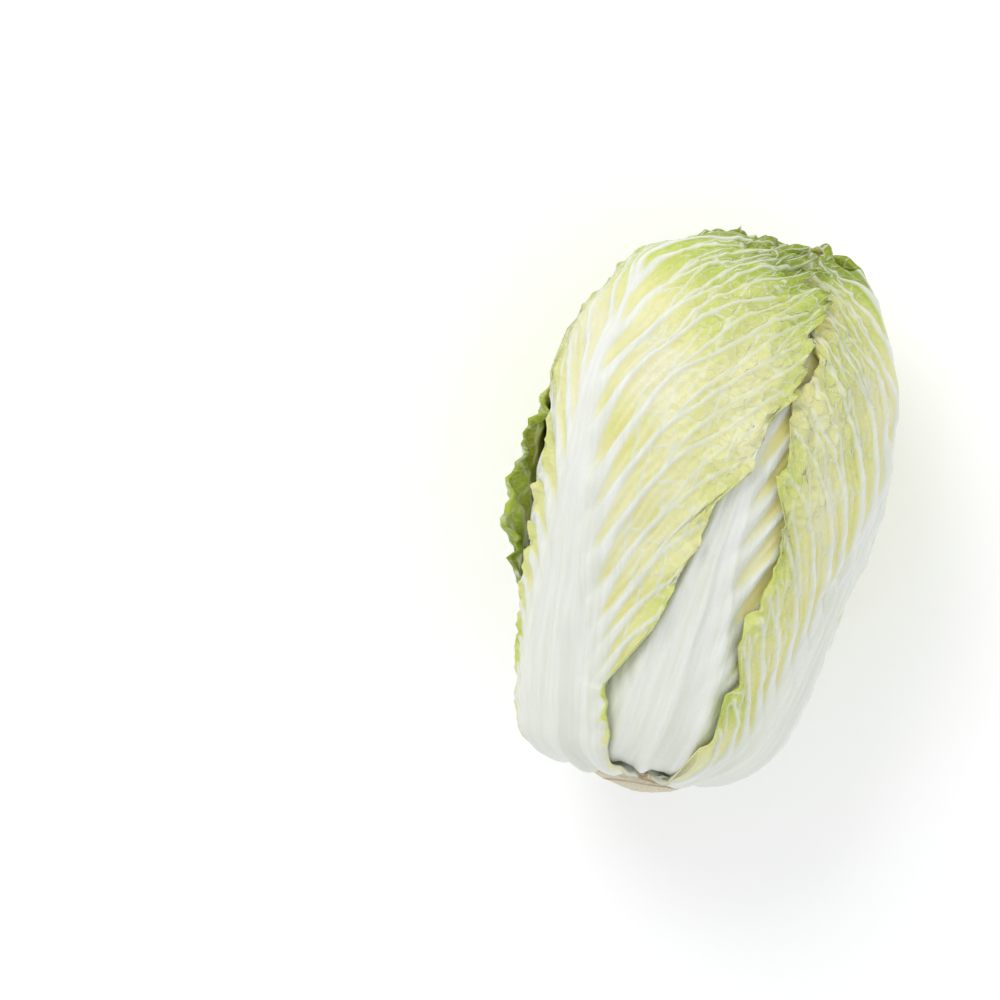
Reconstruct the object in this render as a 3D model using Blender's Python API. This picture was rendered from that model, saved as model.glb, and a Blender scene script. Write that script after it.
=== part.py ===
"""A whole napa cabbage as cut, lying on its side on a table.

Run it with: blender --background --python part.py

The head's long axis runs along +Y, with the cut stem at -Y and the crown at +Y, and +Z is up. Every
leaf is laid on the head in turn, the inner ones first. A place on the head has two coordinates: the
bearing round the axis (0 at +X, a quarter turn at the top) and the arc, which is the distance walked
over the head's core from the stem to the crown. A third number, the height, is the distance out from
the core. The heights laid so far are kept on one raster of bearing and arc, the pile. Each new leaf
takes its inner face from the smoothed pile and adds its own thickness and relief, so the leaves lie on
each other like real ones and never cross.

All lengths are in metres.
"""

import math

import bmesh
import bpy
import numpy as np
from mathutils.bvhtree import BVHTree

# Driving dimensions
HEAD_LENGTH = 0.300  # cut stem to crown
FLATTENING = 0.90  # the head's depth over its width
PETIOLE_THICKNESS = 0.0078
BLADE_THICKNESS = 0.0013
LAYER_GAP = 0.0010  # clear space between one leaf and the next
LEAST_GAP = 0.0004  # the same space at the corners and folds of the facets

# Where the head lies in the part's frame
AXIS_HEIGHT = 0.0848
CENTRE_X = -0.0037
CENTRE_Y = 0.0040
LYING_TILT = math.radians(2.5)  # the narrower stem end lies lower than the crown

# The core under the wrapper leaves, as (distance along the axis from the cut stem, radius)
CORE_PROFILE = [
    (0.0200, 0.000),
    (0.0205, 0.020),
    (0.0218, 0.037),
    (0.0275, 0.0510),
    (0.0430, 0.0610),
    (0.065, 0.0665),
    (0.098, 0.0730),
    (0.137, 0.0800),
    (0.176, 0.0845),
    (0.202, 0.0830),
    (0.222, 0.0780),
    (0.2387, 0.0708),
    (0.2530, 0.0594),
    (0.2618, 0.0520),
    (0.2685, 0.0442),
    (0.2750, 0.0350),
    (0.2802, 0.0250),
    (0.2832, 0.0139),
    (0.2840, 0.000),
]

# How far the head's middle line bends towards +X, at distances along the axis
BEND = [
    (0.0, 0.013),
    (0.012, 0.007),
    (0.02, 0.006),
    (0.030, 0.008),
    (0.045, 0.0095),
    (0.07, 0.0095),
    (0.10, 0.007),
    (0.13, 0.004),
    (0.17, 0.003),
    (0.21, 0.0022),
    (0.24, 0.003),
    (0.262, 0.0015),
    (0.274, 0.002),
    (0.285, 0.006),
    (0.295, 0.010),
    (0.305, 0.013),
]

BASE_DROP = 0.006  # how much further the head's base reaches on its -X side

# The pile's raster
BEARINGS = 180
ARCS = 124
SURVEY_REACH = 0.06

# How a leaf's rows run
LATERAL_PITCH = [(0.04, 0.013), (0.10, 0.017), (0.16, 0.024), (0.36, 0.026)]
LATERAL_STEEPNESS = [(0.04, 0.75), (0.15, 1.05), (0.36, 1.10)]
LATERAL_BEND = 0.025  # a lateral vein leaves its petiole steeply and bends out over this distance
LATERAL_START = 1.3  # how much steeper it starts
PETIOLE_SHARE = 0.36  # of a row's columns
LATERAL_RISE = 0.0032
PETIOLE_RIDGE = 0.0008
QUILT = 0.0005
RUFFLE = [(0.03, 0.002), (0.12, 0.004), (0.25, 0.004), (0.32, 0.003)]  # how far a free margin stands off
TIP_CURL = 0.004  # how far a leaf's tip stands off

# The two turned bodies
HEART_TURNS = 36
STEM_TURNS = 24
STEM_PROFILE = [
    (0.0192, 0.020),
    (0.0184, 0.0236),
    (0.013, 0.0228),
    (0.0085, 0.0195),
    (0.0045, 0.0140),
    (0.0012, 0.0080),
]

LEAF_GREEN = (0.62, 0.68, 0.30, 1.0)
HEART_YELLOW = (0.80, 0.74, 0.36, 1.0)
STEM_CREAM = (0.62, 0.56, 0.42, 1.0)


def graph(points, at):
    """A smooth curve through (x, y) points, read at the given x values and flat beyond its ends."""
    known = np.array(points, float)
    x, y = known[:, 0], known[:, 1]
    slope = np.gradient(y, x)
    at = np.clip(at, x[0], x[-1])
    i = np.clip(np.searchsorted(x, at, side="right") - 1, 0, len(x) - 2)
    span = x[i + 1] - x[i]
    t = (at - x[i]) / span
    start = (1 + 2 * t) * (1 - t) ** 2 * y[i] + t * (1 - t) ** 2 * span * slope[i]
    end = t * t * (3 - 2 * t) * y[i + 1] + t * t * (t - 1) * span * slope[i + 1]
    return start + end


class Core:
    """The head's core: a smooth turned body that the leaves are laid on."""

    def __init__(self, profile, samples=400):
        known = np.array(profile)
        chord = np.r_[0, np.cumsum(np.hypot(*np.diff(known, axis=0).T))]
        along = np.linspace(0, chord[-1], samples)
        self.axial = graph(np.c_[chord, known[:, 0]], along)
        self.radius = np.maximum(graph(np.c_[chord, known[:, 1]], along), 0)
        steps = np.hypot(np.diff(self.axial), np.diff(self.radius))
        self.arc = np.r_[0, np.cumsum(steps)]
        self.length = self.arc[-1]
        way = np.gradient(self.axial, self.arc), np.gradient(self.radius, self.arc)
        size = np.hypot(*way)
        self.out_axial, self.out_radial = -way[1] / size, way[0] / size

    def radius_at(self, arc):
        """The core's radius at these arcs."""
        return np.interp(arc, self.arc, self.radius)

    def place(self, bearing, arc, height):
        """Points in the part's frame at a height over the core."""
        axial = np.interp(arc, self.arc, self.axial) + height * np.interp(arc, self.arc, self.out_axial)
        radial = np.interp(arc, self.arc, self.radius) + height * np.interp(arc, self.arc, self.out_radial)
        return in_frame(bearing, axial, radial)

    def ways_out(self, bearing, arc):
        """Points on the core, and how far a point moves there as its height grows."""
        base = self.place(bearing, arc, 0.0)
        return base, (self.place(bearing, arc, 0.001) - base) / 0.001


def in_frame(bearing, axial, radial):
    """Points in the part's frame from a bearing, a distance along the axis and a distance from it."""
    x = radial * np.cos(bearing) + graph(BEND, axial)
    side = np.clip((0.010 - x) / 0.055, 0, 1)
    drop = BASE_DROP * side * side * (3 - 2 * side) * np.clip(1 - axial / 0.08, 0, 1) ** 2
    y = axial - drop - HEAD_LENGTH / 2
    z = radial * np.sin(bearing) * FLATTENING
    turned_y = y * math.cos(LYING_TILT) - z * math.sin(LYING_TILT)
    turned_z = y * math.sin(LYING_TILT) + z * math.cos(LYING_TILT)
    return np.stack([x - CENTRE_X, turned_y - CENTRE_Y, turned_z + AXIS_HEIGHT], axis=-1)


class Pile:
    """Everything laid so far, and its height over every bearing and arc of the core."""

    def __init__(self, core):
        self.core = core
        self.bearing = np.arange(BEARINGS) * 2 * math.pi / BEARINGS
        self.arc = np.linspace(0, core.length, ARCS)
        self.cell = self.arc[1]
        self.radius = np.maximum(core.radius_at(self.arc), 0.004)
        self.height = np.zeros((BEARINGS, ARCS))
        self.points = np.zeros((0, 3))
        self.faces = np.zeros((0, 3), int)
        self.tree = None

    def add(self, points, faces):
        """Adds a mesh to the pile and surveys the heights again."""
        self.faces = np.concatenate([self.faces, faces + len(self.points)])
        self.points = np.concatenate([self.points, points])
        self.tree = BVHTree.FromPolygons(self.points.tolist(), self.faces.tolist())
        bearing, arc = np.meshgrid(self.bearing, self.arc, indexing="ij")
        self.height = np.maximum(self.rise(*self.core.ways_out(bearing, arc)), 0)

    def rise(self, base, out):
        """How far the pile's top is above each base point, along its own way out."""
        high = base + out * SURVEY_REACH
        found = np.full(base.shape[:-1], -SURVEY_REACH)
        flat = found.ravel()
        size = np.linalg.norm(out, axis=-1).ravel()
        for i, (start, way) in enumerate(zip(high.reshape(-1, 3), -out.reshape(-1, 3))):
            distance = self.tree.ray_cast(start, way, 2 * SURVEY_REACH)[3]
            if distance is not None:
                flat[i] = SURVEY_REACH - distance / size[i]
        return found

    def blurred(self, field, width):
        """The field smoothed by a bell of this width along both coordinates."""
        waves = np.arange(BEARINGS // 2 + 1)[:, None]
        spread = np.exp(-0.5 * (waves * width / self.radius[None, :]) ** 2)
        round_the_head = np.fft.irfft(np.fft.rfft(field, axis=0) * spread, n=BEARINGS, axis=0)
        apart = (self.arc[:, None] - self.arc[None, :]) / width
        bell = np.exp(-0.5 * apart**2)
        return round_the_head @ (bell / bell.sum(axis=1, keepdims=True)).T

    def widened(self, field, cells):
        """The highest value within some cells of each place."""
        for _ in range(cells):
            field = np.maximum.reduce([field, np.roll(field, 1, axis=0), np.roll(field, -1, axis=0)])
            up = np.pad(field, ((0, 0), (1, 1)), mode="edge")
            field = np.maximum.reduce([up[:, :-2], up[:, 1:-1], up[:, 2:]])
        return field

    def draped(self):
        """A smooth sheet that lies on the pile and is nowhere below it."""
        soft = self.blurred(self.height, 0.008)
        short = np.maximum(self.height - soft, 0)
        return soft + self.blurred(self.widened(short, 2), 0.003)

    def read(self, field, bearing, arc):
        """The field between its cells, at these places."""
        a = (bearing / (2 * math.pi) * BEARINGS) % BEARINGS
        b = np.clip(arc / self.cell, 0, ARCS - 1.001)
        i, j = np.floor(a).astype(int), np.floor(b).astype(int)
        s, t = a - i, b - j
        i, after = i % BEARINGS, (i + 1) % BEARINGS
        low = field[i, j] * (1 - s) + field[after, j] * s
        high = field[i, j + 1] * (1 - s) + field[after, j + 1] * s
        return low * (1 - t) + high * t


class Leaf:
    """One leaf: a thick white petiole with a thin blade on each side of it.

    A place on the leaf is a row and an offset. The row is the arc at which its lateral vein leaves the
    petiole, and the offset is the distance from the midrib, positive towards larger bearings.
    """

    def __init__(self, name, midrib, petiole, left, right, tip, columns, phase, ruffle=None, base=0.027):
        self.name = name
        self.midrib = [(arc, math.radians(degrees)) for arc, degrees in midrib]
        self.petiole = petiole
        self.margins = {1: left, -1: right}
        self.base = base
        self.tip = tip
        self.columns = columns
        self.phase = phase
        self.ruffle = {1: RUFFLE, -1: RUFFLE, **(ruffle or {})}

    def petiole_width(self, row):
        """Half the petiole's width at these rows."""
        return graph(self.petiole, row)

    def climb(self, row, distance):
        """How far up the head a lateral vein has gone at this distance from its petiole."""
        start = LATERAL_START * LATERAL_BEND * (1 - np.exp(-distance / LATERAL_BEND))
        return graph(LATERAL_STEEPNESS, row) * (distance + start)

    def arc_of(self, row, offset):
        """The arc that a row has reached at an offset from the midrib."""
        beyond = np.maximum(np.abs(offset) - self.petiole_width(row), 0)
        return row + self.climb(row, beyond)

    def row_of(self, arc, offset):
        """The row through a place, found by walking back down its lateral vein."""
        row = arc
        for _ in range(25):
            row = 0.5 * row + 0.5 * (arc - self.arc_of(row, offset) + row)
        return row

    def reach(self, row, side):
        """How far a row goes before it meets the leaf's outline."""
        offset = np.linspace(0, 0.13, 261)[:, None]
        outline = graph(self.margins[side], self.arc_of(row[None, :], offset))
        past = offset >= outline
        first = np.argmax(past, axis=0)
        reach = offset[first, 0]
        scallop = 1 + 0.045 * np.sin(2 * math.pi * self.lateral(row) + self.phase)
        return np.maximum(reach * scallop, self.petiole_width(row) + 0.0015)

    def lateral(self, row):
        """The number of lateral veins below a row."""
        rows = np.linspace(0, 0.40, 400)
        count = np.cumsum(np.r_[0, np.diff(rows) / graph(LATERAL_PITCH, rows)[1:]])
        return np.interp(row, rows, count)

    def rows(self):
        """Rows along the lateral veins and halfway between them."""
        first, last = self.lateral(np.array([self.base, self.tip]))
        counts = np.arange(math.ceil(first * 2 + 0.4), math.floor(last * 2 - 0.4) + 1) / 2
        rows = np.linspace(0, 0.40, 400)
        return np.interp(np.r_[first, counts, last], self.lateral(rows), rows)

    def thickness(self, row, offset):
        """The petiole's rounded section, thin where it joins the stem and towards the leaf's tip."""
        width = self.petiole_width(row)
        full = PETIOLE_THICKNESS * graph(
            [(0.02, 0.35), (0.05, 0.75), (0.09, 1.0), (0.17, 0.75), (0.25, 0.40), (0.34, 0.25)], row
        )
        across = np.clip(1 - (offset / width) ** 2, 0, 1) ** 0.8
        ridges = PETIOLE_RIDGE * np.cos(3 * math.pi * offset / width) * across
        return BLADE_THICKNESS + np.maximum(full - BLADE_THICKNESS, 0) * across + ridges * (full > 0.003)

    def relief(self, row, offset, edge):
        """The height that lateral veins and the quilted blade add to the leaf's outer face."""
        width = self.petiole_width(row)
        beyond = np.clip((np.abs(offset) - width) / 0.006, 0, 1)
        vein = np.cos(2 * math.pi * self.lateral(row))
        rise = LATERAL_RISE * (0.5 + 0.5 * vein) * (1 - 0.55 * edge)
        return beyond * rise

    def lift(self, row, offset, edge):
        """How far the leaf's free margin stands off, in waves."""
        wave = np.sin(2 * math.pi * self.lateral(row) + self.phase)
        ruffle = np.where(offset > 0, graph(self.ruffle[1], row), graph(self.ruffle[-1], row))
        curl = TIP_CURL * np.clip((row - self.tip + 0.035) / 0.035, 0, 1) ** 2
        return ruffle * edge**4 * (0.6 + 0.4 * wave) + curl

    def bearing_of(self, arc, offset, core):
        """The bearing of a place that lies at an offset from the midrib."""
        return graph(self.midrib, arc) + offset / np.maximum(core.radius_at(arc), 0.006)

    def covers(self, pile):
        """Which cells of the pile the leaf covers, as ones and zeros."""
        arc = np.broadcast_to(pile.arc[None, :], pile.height.shape)
        turn = pile.bearing[:, None] - graph(self.midrib, pile.arc)[None, :]
        turn = (turn + math.pi) % (2 * math.pi) - math.pi
        offset = turn * np.maximum(pile.radius, 0.006)[None, :]
        row = self.row_of(arc, offset)
        known = np.linspace(self.base, self.tip, 200)
        left, right = (np.interp(row, known, self.reach(known, side)) for side in (1, -1))
        inside = np.abs(offset) <= np.where(offset > 0, left, right)
        return (inside & (row >= self.base) & (row <= self.tip)).astype(float)

    def grid(self):
        """Rows and offsets of the leaf's points: petiole columns in the middle, blade columns outside."""
        row = self.rows()
        across = np.linspace(-1, 1, self.columns)
        width = self.petiole_width(row)[:, None]
        reach = np.where(across < 0, self.reach(row, -1)[:, None], self.reach(row, 1)[:, None])
        size = np.abs(across)[None, :]
        blade = width + (reach - width) * np.clip((size - PETIOLE_SHARE) / (1 - PETIOLE_SHARE), 0, 1)
        offset = np.where(size <= PETIOLE_SHARE, size / PETIOLE_SHARE * width, blade) * np.sign(across)
        return np.broadcast_to(row[:, None], offset.shape), offset, np.abs(offset) / reach

    def lay(self, core, pile, exposed):
        """Lays the leaf on the pile, and gives its outer points, its inner points and its faces."""
        row, offset, edge = self.grid()
        arc = self.arc_of(row, offset)
        bearing = self.bearing_of(arc, offset, core)
        bare = pile.read(exposed, bearing, arc)
        inner = pile.read(pile.draped(), bearing, arc) + LAYER_GAP + bare * self.lift(row, offset, edge)
        inner = self.settled(core, pile, bearing, arc, inner)
        quilt = QUILT * np.cos(math.pi * np.arange(self.columns))[None, :]
        quilt = quilt * (np.cos(2 * math.pi * self.lateral(row)) < 0) * (edge < 0.95)
        quilt = quilt * (np.abs(offset) > self.petiole_width(row))
        above = self.thickness(row, offset) + bare * (self.relief(row, offset, edge) + quilt)
        rows, columns = inner.shape
        faces = [sheet_faces(rows, columns, 0, False), sheet_faces(rows, columns, rows * columns, True)]
        faces = np.concatenate(faces + [rim_faces(rows, columns)])
        for _ in range(40):
            high, low = core.place(bearing, arc, inner + above), core.place(bearing, arc, inner)
            high[..., 2] = np.maximum(high[..., 2], 0)
            points = np.concatenate([high.reshape(-1, 3), low.reshape(-1, 3)])
            crossed = BVHTree.FromPolygons(points.tolist(), faces.tolist()).overlap(pile.tree)
            if not crossed:
                break
            touched = np.unique(faces[[pair[0] for pair in crossed]]) % inner.size
            inner.ravel()[touched] += 0.0004
        return points, faces

    def settled(self, core, pile, bearing, arc, inner):
        """The inner face raised wherever its flat facets come nearer to the pile than the least gap."""
        corners = sheet_faces(*inner.shape, 0, False)
        shares = np.array([(i, j, 6 - i - j) for i in range(7) for j in range(7 - i)]) / 6
        b, a = (shares @ part.ravel()[corners].T for part in (bearing, arc))
        _, out = core.ways_out(b, a)
        for _ in range(4):
            facet = core.place(bearing, arc, inner).reshape(-1, 3)[corners]
            facet = np.einsum("sk,fkx->sfx", shares, facet)
            short = (pile.rise(facet, out) + LEAST_GAP).max(axis=0)
            raised = np.zeros(inner.size)
            for k in range(3):
                np.maximum.at(raised, corners[:, k], short)
            inner = inner + spread_out(raised.reshape(inner.shape))
        return inner


def spread_out(rise):
    """The rise of a grid's points, passed on in part to their neighbours so that it makes no spikes."""
    for _ in range(3):
        side = np.pad(rise, 1, mode="edge")
        around = np.maximum.reduce([side[:-2, 1:-1], side[2:, 1:-1], side[1:-1, :-2], side[1:-1, 2:]])
        rise = np.maximum(rise, 0.65 * around)
    return rise


def sheet_faces(rows, columns, start, turned):
    """Triangles of a grid of points, split alike on both of a leaf's faces."""
    index = start + np.arange(rows * columns).reshape(rows, columns)
    a, b = index[:-1, :-1].ravel(), index[:-1, 1:].ravel()
    c, d = index[1:, 1:].ravel(), index[1:, :-1].ravel()
    faces = np.concatenate([np.stack([a, b, c], 1), np.stack([a, c, d], 1)])
    return faces[:, ::-1] if turned else faces


def rim_faces(rows, columns):
    """The narrow faces round a leaf's edge, between its outer and inner points."""
    index = np.arange(rows * columns).reshape(rows, columns)
    loop = np.concatenate([index[0, :-1], index[:-1, -1], index[-1, :0:-1], index[:0:-1, 0]])
    after = np.roll(loop, -1)
    below = rows * columns
    first = np.stack([loop, loop + below, after + below], 1)
    return np.concatenate([first, np.stack([loop, after + below, after], 1)])


def add_object(name, points, faces, material, collection):
    """A mesh object from computed points, with its faces turned outwards."""
    mesh = bpy.data.meshes.new(name)
    mesh.from_pydata(points.tolist(), [], faces.tolist())
    cage = bmesh.new()
    cage.from_mesh(mesh)
    bmesh.ops.recalc_face_normals(cage, faces=cage.faces)
    cage.to_mesh(mesh)
    cage.free()
    mesh.shade_smooth()
    mesh.materials.append(material)
    obj = bpy.data.objects.new(name, mesh)
    collection.objects.link(obj)
    return points, faces


def make_material(name, colour, roughness):
    """A plain matt material."""
    material = bpy.data.materials.new(name)
    material.use_nodes = True
    shader = material.node_tree.nodes["Principled BSDF"]
    shader.inputs["Base Color"].default_value = colour
    shader.inputs["Roughness"].default_value = roughness
    shader.inputs["Metallic"].default_value = 0.0
    return material


def wrapper_leaves():
    """The wrapper leaves, inner ones first. Margins are (arc, distance from the midrib)."""
    petiole = [
        (0.02, 0.020),
        (0.06, 0.029),
        (0.11, 0.026),
        (0.16, 0.018),
        (0.20, 0.010),
        (0.27, 0.005),
        (0.34, 0.003),
    ]
    margin = [
        (0.02, 0.023),
        (0.06, 0.032),
        (0.10, 0.040),
        (0.15, 0.058),
        (0.19, 0.078),
        (0.23, 0.088),
        (0.27, 0.080),
        (0.30, 0.064),
        (0.325, 0.042),
        (0.340, 0.018),
        (0.348, 0.008),
    ]
    leaves = [
        Leaf(
            "leaf_front_middle",
            midrib=[(0.03, 85), (0.06, 88), (0.10, 88), (0.15, 84), (0.20, 81.5), (0.34, 80)],
            petiole=[
                (0.02, 0.022),
                (0.06, 0.028),
                (0.10, 0.028),
                (0.13, 0.023),
                (0.155, 0.016),
                (0.205, 0.009),
                (0.33, 0.003),
            ],
            left=margin,
            right=margin,
            tip=0.326,
            columns=15,
            phase=0.4,
        ),
        Leaf(
            "leaf_back_right",
            midrib=[(0.03, 322), (0.20, 318), (0.34, 310)],
            petiole=petiole,
            left=margin,
            right=margin,
            tip=0.320,
            columns=11,
            phase=3.0,
            ruffle={1: [(0.03, 0.002), (0.20, 0.004), (0.26, 0.010), (0.32, 0.012)]},
        ),
        Leaf(
            "leaf_left",
            midrib=[(0.03, 170), (0.12, 168), (0.163, 163), (0.20, 161), (0.23, 161), (0.34, 170)],
            petiole=petiole,
            left=margin,
            right=margin,
            tip=0.315,
            columns=13,
            phase=0.9,
            ruffle={-1: [(0.03, 0.002), (0.12, 0.003), (0.19, 0.001), (0.32, 0.001)]},
        ),
        Leaf(
            "leaf_back_left",
            midrib=[(0.03, 232), (0.20, 226), (0.34, 220)],
            petiole=petiole,
            left=margin,
            right=[
                (0.02, 0.023),
                (0.06, 0.034),
                (0.10, 0.050),
                (0.13, 0.067),
                (0.16, 0.076),
                (0.19, 0.081),
                (0.23, 0.086),
                (0.27, 0.080),
                (0.30, 0.064),
                (0.325, 0.042),
                (0.340, 0.018),
                (0.348, 0.008),
            ],
            tip=0.318,
            columns=11,
            phase=1.9,
            ruffle={
                -1: [
                    (0.03, 0.001),
                    (0.072, 0.004),
                    (0.084, 0.012),
                    (0.095, 0.018),
                    (0.108, 0.015),
                    (0.120, 0.008),
                    (0.132, 0.004),
                ]
            },
        ),
        Leaf(
            "leaf_under",
            midrib=[(0.03, 270), (0.20, 270), (0.34, 266)],
            petiole=petiole,
            left=margin,
            right=margin,
            tip=0.312,
            columns=11,
            phase=2.2,
        ),
        Leaf(
            "leaf_front_right",
            midrib=[
                (0.03, 30),
                (0.06, 24),
                (0.10, 24),
                (0.148, 19),
                (0.192, 17),
                (0.23, 15),
                (0.262, 12),
                (0.295, 12),
                (0.32, 16),
                (0.345, 20),
            ],
            petiole=[
                (0.02, 0.022),
                (0.06, 0.028),
                (0.097, 0.0225),
                (0.13, 0.0175),
                (0.18, 0.014),
                (0.22, 0.009),
                (0.27, 0.005),
                (0.34, 0.003),
            ],
            left=[
                (0.020, 0.0240),
                (0.050, 0.0336),
                (0.062, 0.0464),
                (0.075, 0.0467),
                (0.095, 0.0497),
                (0.104, 0.0464),
                (0.111, 0.0492),
                (0.121, 0.0574),
                (0.145, 0.0606),
                (0.153, 0.0624),
                (0.163, 0.0606),
                (0.174, 0.0619),
                (0.190, 0.0694),
                (0.197, 0.0739),
                (0.206, 0.0841),
                (0.219, 0.0809),
                (0.229, 0.0797),
                (0.236, 0.0823),
                (0.248, 0.0775),
                (0.266, 0.0700),
                (0.280, 0.0620),
                (0.289, 0.0564),
                (0.310, 0.0478),
                (0.324, 0.0332),
                (0.335, 0.0160),
                (0.345, 0.0080),
            ],
            right=margin,
            tip=0.328,
            columns=19,
            phase=1.2,
            ruffle={-1: [(0.03, 0.002), (0.20, 0.004), (0.26, 0.009), (0.32, 0.009)]},
        ),
        Leaf(
            "leaf_front_left",
            midrib=[
                (0.03, 132),
                (0.06, 136),
                (0.10, 139),
                (0.14, 137),
                (0.18, 136.5),
                (0.22, 139.5),
                (0.247, 143),
                (0.262, 144),
                (0.273, 146.5),
                (0.283, 149),
                (0.294, 153),
                (0.306, 158),
                (0.34, 163),
            ],
            petiole=[
                (0.02, 0.022),
                (0.05, 0.026),
                (0.10, 0.025),
                (0.14, 0.020),
                (0.18, 0.015),
                (0.22, 0.0105),
                (0.27, 0.006),
                (0.33, 0.0035),
            ],
            left=[
                (0.02, 0.024),
                (0.06, 0.030),
                (0.10, 0.031),
                (0.15, 0.029),
                (0.19, 0.027),
                (0.215, 0.030),
                (0.24, 0.042),
                (0.26, 0.053),
                (0.28, 0.057),
                (0.305, 0.052),
                (0.328, 0.032),
                (0.345, 0.012),
            ],
            right=[
                (0.020, 0.0240),
                (0.050, 0.0278),
                (0.075, 0.0293),
                (0.084, 0.0270),
                (0.099, 0.0350),
                (0.121, 0.0486),
                (0.142, 0.0553),
                (0.156, 0.0602),
                (0.169, 0.0662),
                (0.180, 0.0700),
                (0.190, 0.0745),
                (0.199, 0.0795),
                (0.206, 0.0845),
                (0.222, 0.0892),
                (0.238, 0.0933),
                (0.248, 0.0984),
                (0.263, 0.0970),
                (0.275, 0.0930),
                (0.289, 0.0916),
                (0.297, 0.0860),
                (0.310, 0.0686),
                (0.323, 0.0476),
                (0.335, 0.0240),
                (0.345, 0.0100),
            ],
            tip=0.332,
            columns=21,
            phase=0.0,
            ruffle={-1: [(0.03, 0.002), (0.12, 0.004), (0.20, 0.004), (0.25, 0.007), (0.33, 0.007)]},
        ),
    ]
    return leaves


def heart_height(core, bearing, arc):
    """The packed inner leaves: their overlapping tips show on the crown as steps that wind round it."""
    crown = np.clip((arc - 0.25) / 0.05, 0, 1)
    height = np.zeros(np.broadcast(bearing, arc).shape)
    tips = 7
    for k in range(tips):
        middle = 2.4 * k
        turn = (bearing - middle + math.pi) % (2 * math.pi) - math.pi
        edge = 0.354 - 0.006 * k - 0.010 * (turn / 1.9) ** 2 + 0.0025 * np.sin(11 * bearing + k)
        inside = np.clip((edge - arc) / 0.003, 0, 1) * np.clip((1.9 - np.abs(turn)) / 0.2, 0, 1)
        height = height + inside * 0.0016
    wrinkles = 0.0015 * np.sin(13 * bearing + 160 * arc) * np.sin(210 * arc)
    return crown * (height + wrinkles * np.clip((core.length - arc) / 0.02, 0, 1))


def turned_body(points):
    """Points and faces of a closed body from rings of points, with one more point at each end."""
    rings, turns = points.shape[:2]
    index = np.arange(rings * turns).reshape(rings, turns)
    after = np.roll(index, -1, axis=1)
    p, q, r, s = index[:-1].ravel(), after[:-1].ravel(), after[1:].ravel(), index[1:].ravel()
    first, last = rings * turns, rings * turns + 1
    faces = [
        np.stack([p, q, r], 1),
        np.stack([p, r, s], 1),
        np.stack([index[0], np.full(turns, first), after[0]], 1),
        np.stack([index[-1], after[-1], np.full(turns, last)], 1),
    ]
    ends = [points[0].mean(axis=0), points[-1].mean(axis=0)]
    return np.concatenate([points.reshape(-1, 3), ends]), np.concatenate(faces)


def make_heart(core):
    """The heart: the core itself, with the inner leaves' tips raised from it, in one closed body."""
    side, crown = np.linspace(0.012, 0.245, 10, endpoint=False), np.linspace(0.245, core.length - 0.004, 18)
    arc = np.concatenate([side, crown])
    bearing = np.arange(HEART_TURNS) * 2 * math.pi / HEART_TURNS
    b, a = np.meshgrid(bearing, arc)
    return turned_body(core.place(b, a, heart_height(core, b, a)))


def make_stem():
    """The stump that the leaves grow from: it narrows towards the cut, which runs a little askew."""
    bearing = np.arange(STEM_TURNS)[None, :] * 2 * math.pi / STEM_TURNS
    axial = np.array([part[0] for part in STEM_PROFILE])[:, None]
    radius = np.array([part[1] for part in STEM_PROFILE])[:, None]
    radius = radius * (1 + 0.05 * np.cos(3 * bearing + 1.0) + 0.03 * np.cos(5 * bearing + 0.4))
    askew = 0.0016 * np.cos(bearing - 0.6) * (radius / 0.02)
    lowest = np.clip(1 - axial / 0.010, 0, 1)
    return turned_body(in_frame(bearing, axial + askew * lowest, radius))


def main():
    """Builds the stump, the heart and the wrapper leaves, from the inside outwards."""
    for obj in list(bpy.data.objects):
        bpy.data.objects.remove(obj)
    collection = bpy.data.collections.new("napa_cabbage")
    bpy.context.scene.collection.children.link(collection)
    core = Core(CORE_PROFILE)
    pile = Pile(core)
    blade = make_material("leaf_blade", LEAF_GREEN, 0.45)
    yellow = make_material("heart_yellow", HEART_YELLOW, 0.45)
    cream = make_material("stem_cream", STEM_CREAM, 0.6)

    add_object("stem", *make_stem(), cream, collection)
    pile.add(*add_object("heart", *make_heart(core), yellow, collection))
    leaves = wrapper_leaves()
    prints = [leaf.covers(pile) for leaf in leaves]
    for number, leaf in enumerate(leaves):
        later = np.maximum.reduce([np.zeros_like(pile.height)] + prints[number + 1 :])
        exposed = 1 - pile.blurred(pile.widened(later, 1), 0.003).clip(0, 1)
        pile.add(*add_object(leaf.name, *leaf.lay(core, pile, exposed), blade, collection))


main()
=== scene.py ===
"""The looks of a whole napa cabbage that lies on its side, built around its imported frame.

The head's long axis runs along +Y, with the cut stump at -Y and the crown at +Y, and +Z is up. Each leaf
is a sheet over a smooth turned body. A place on that body has a bearing round the axis (0 at +X, a
quarter turn at the top) and an arc, the distance walked over the body from the stump to the crown. The
leaves are laid one after the other on a height field, the pile, so that each rests on those below it.

All lengths are in metres.
"""

import logging
import math
from dataclasses import dataclass, field
from enum import Enum
from typing import Dict, List, Optional, Sequence, Tuple

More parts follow.
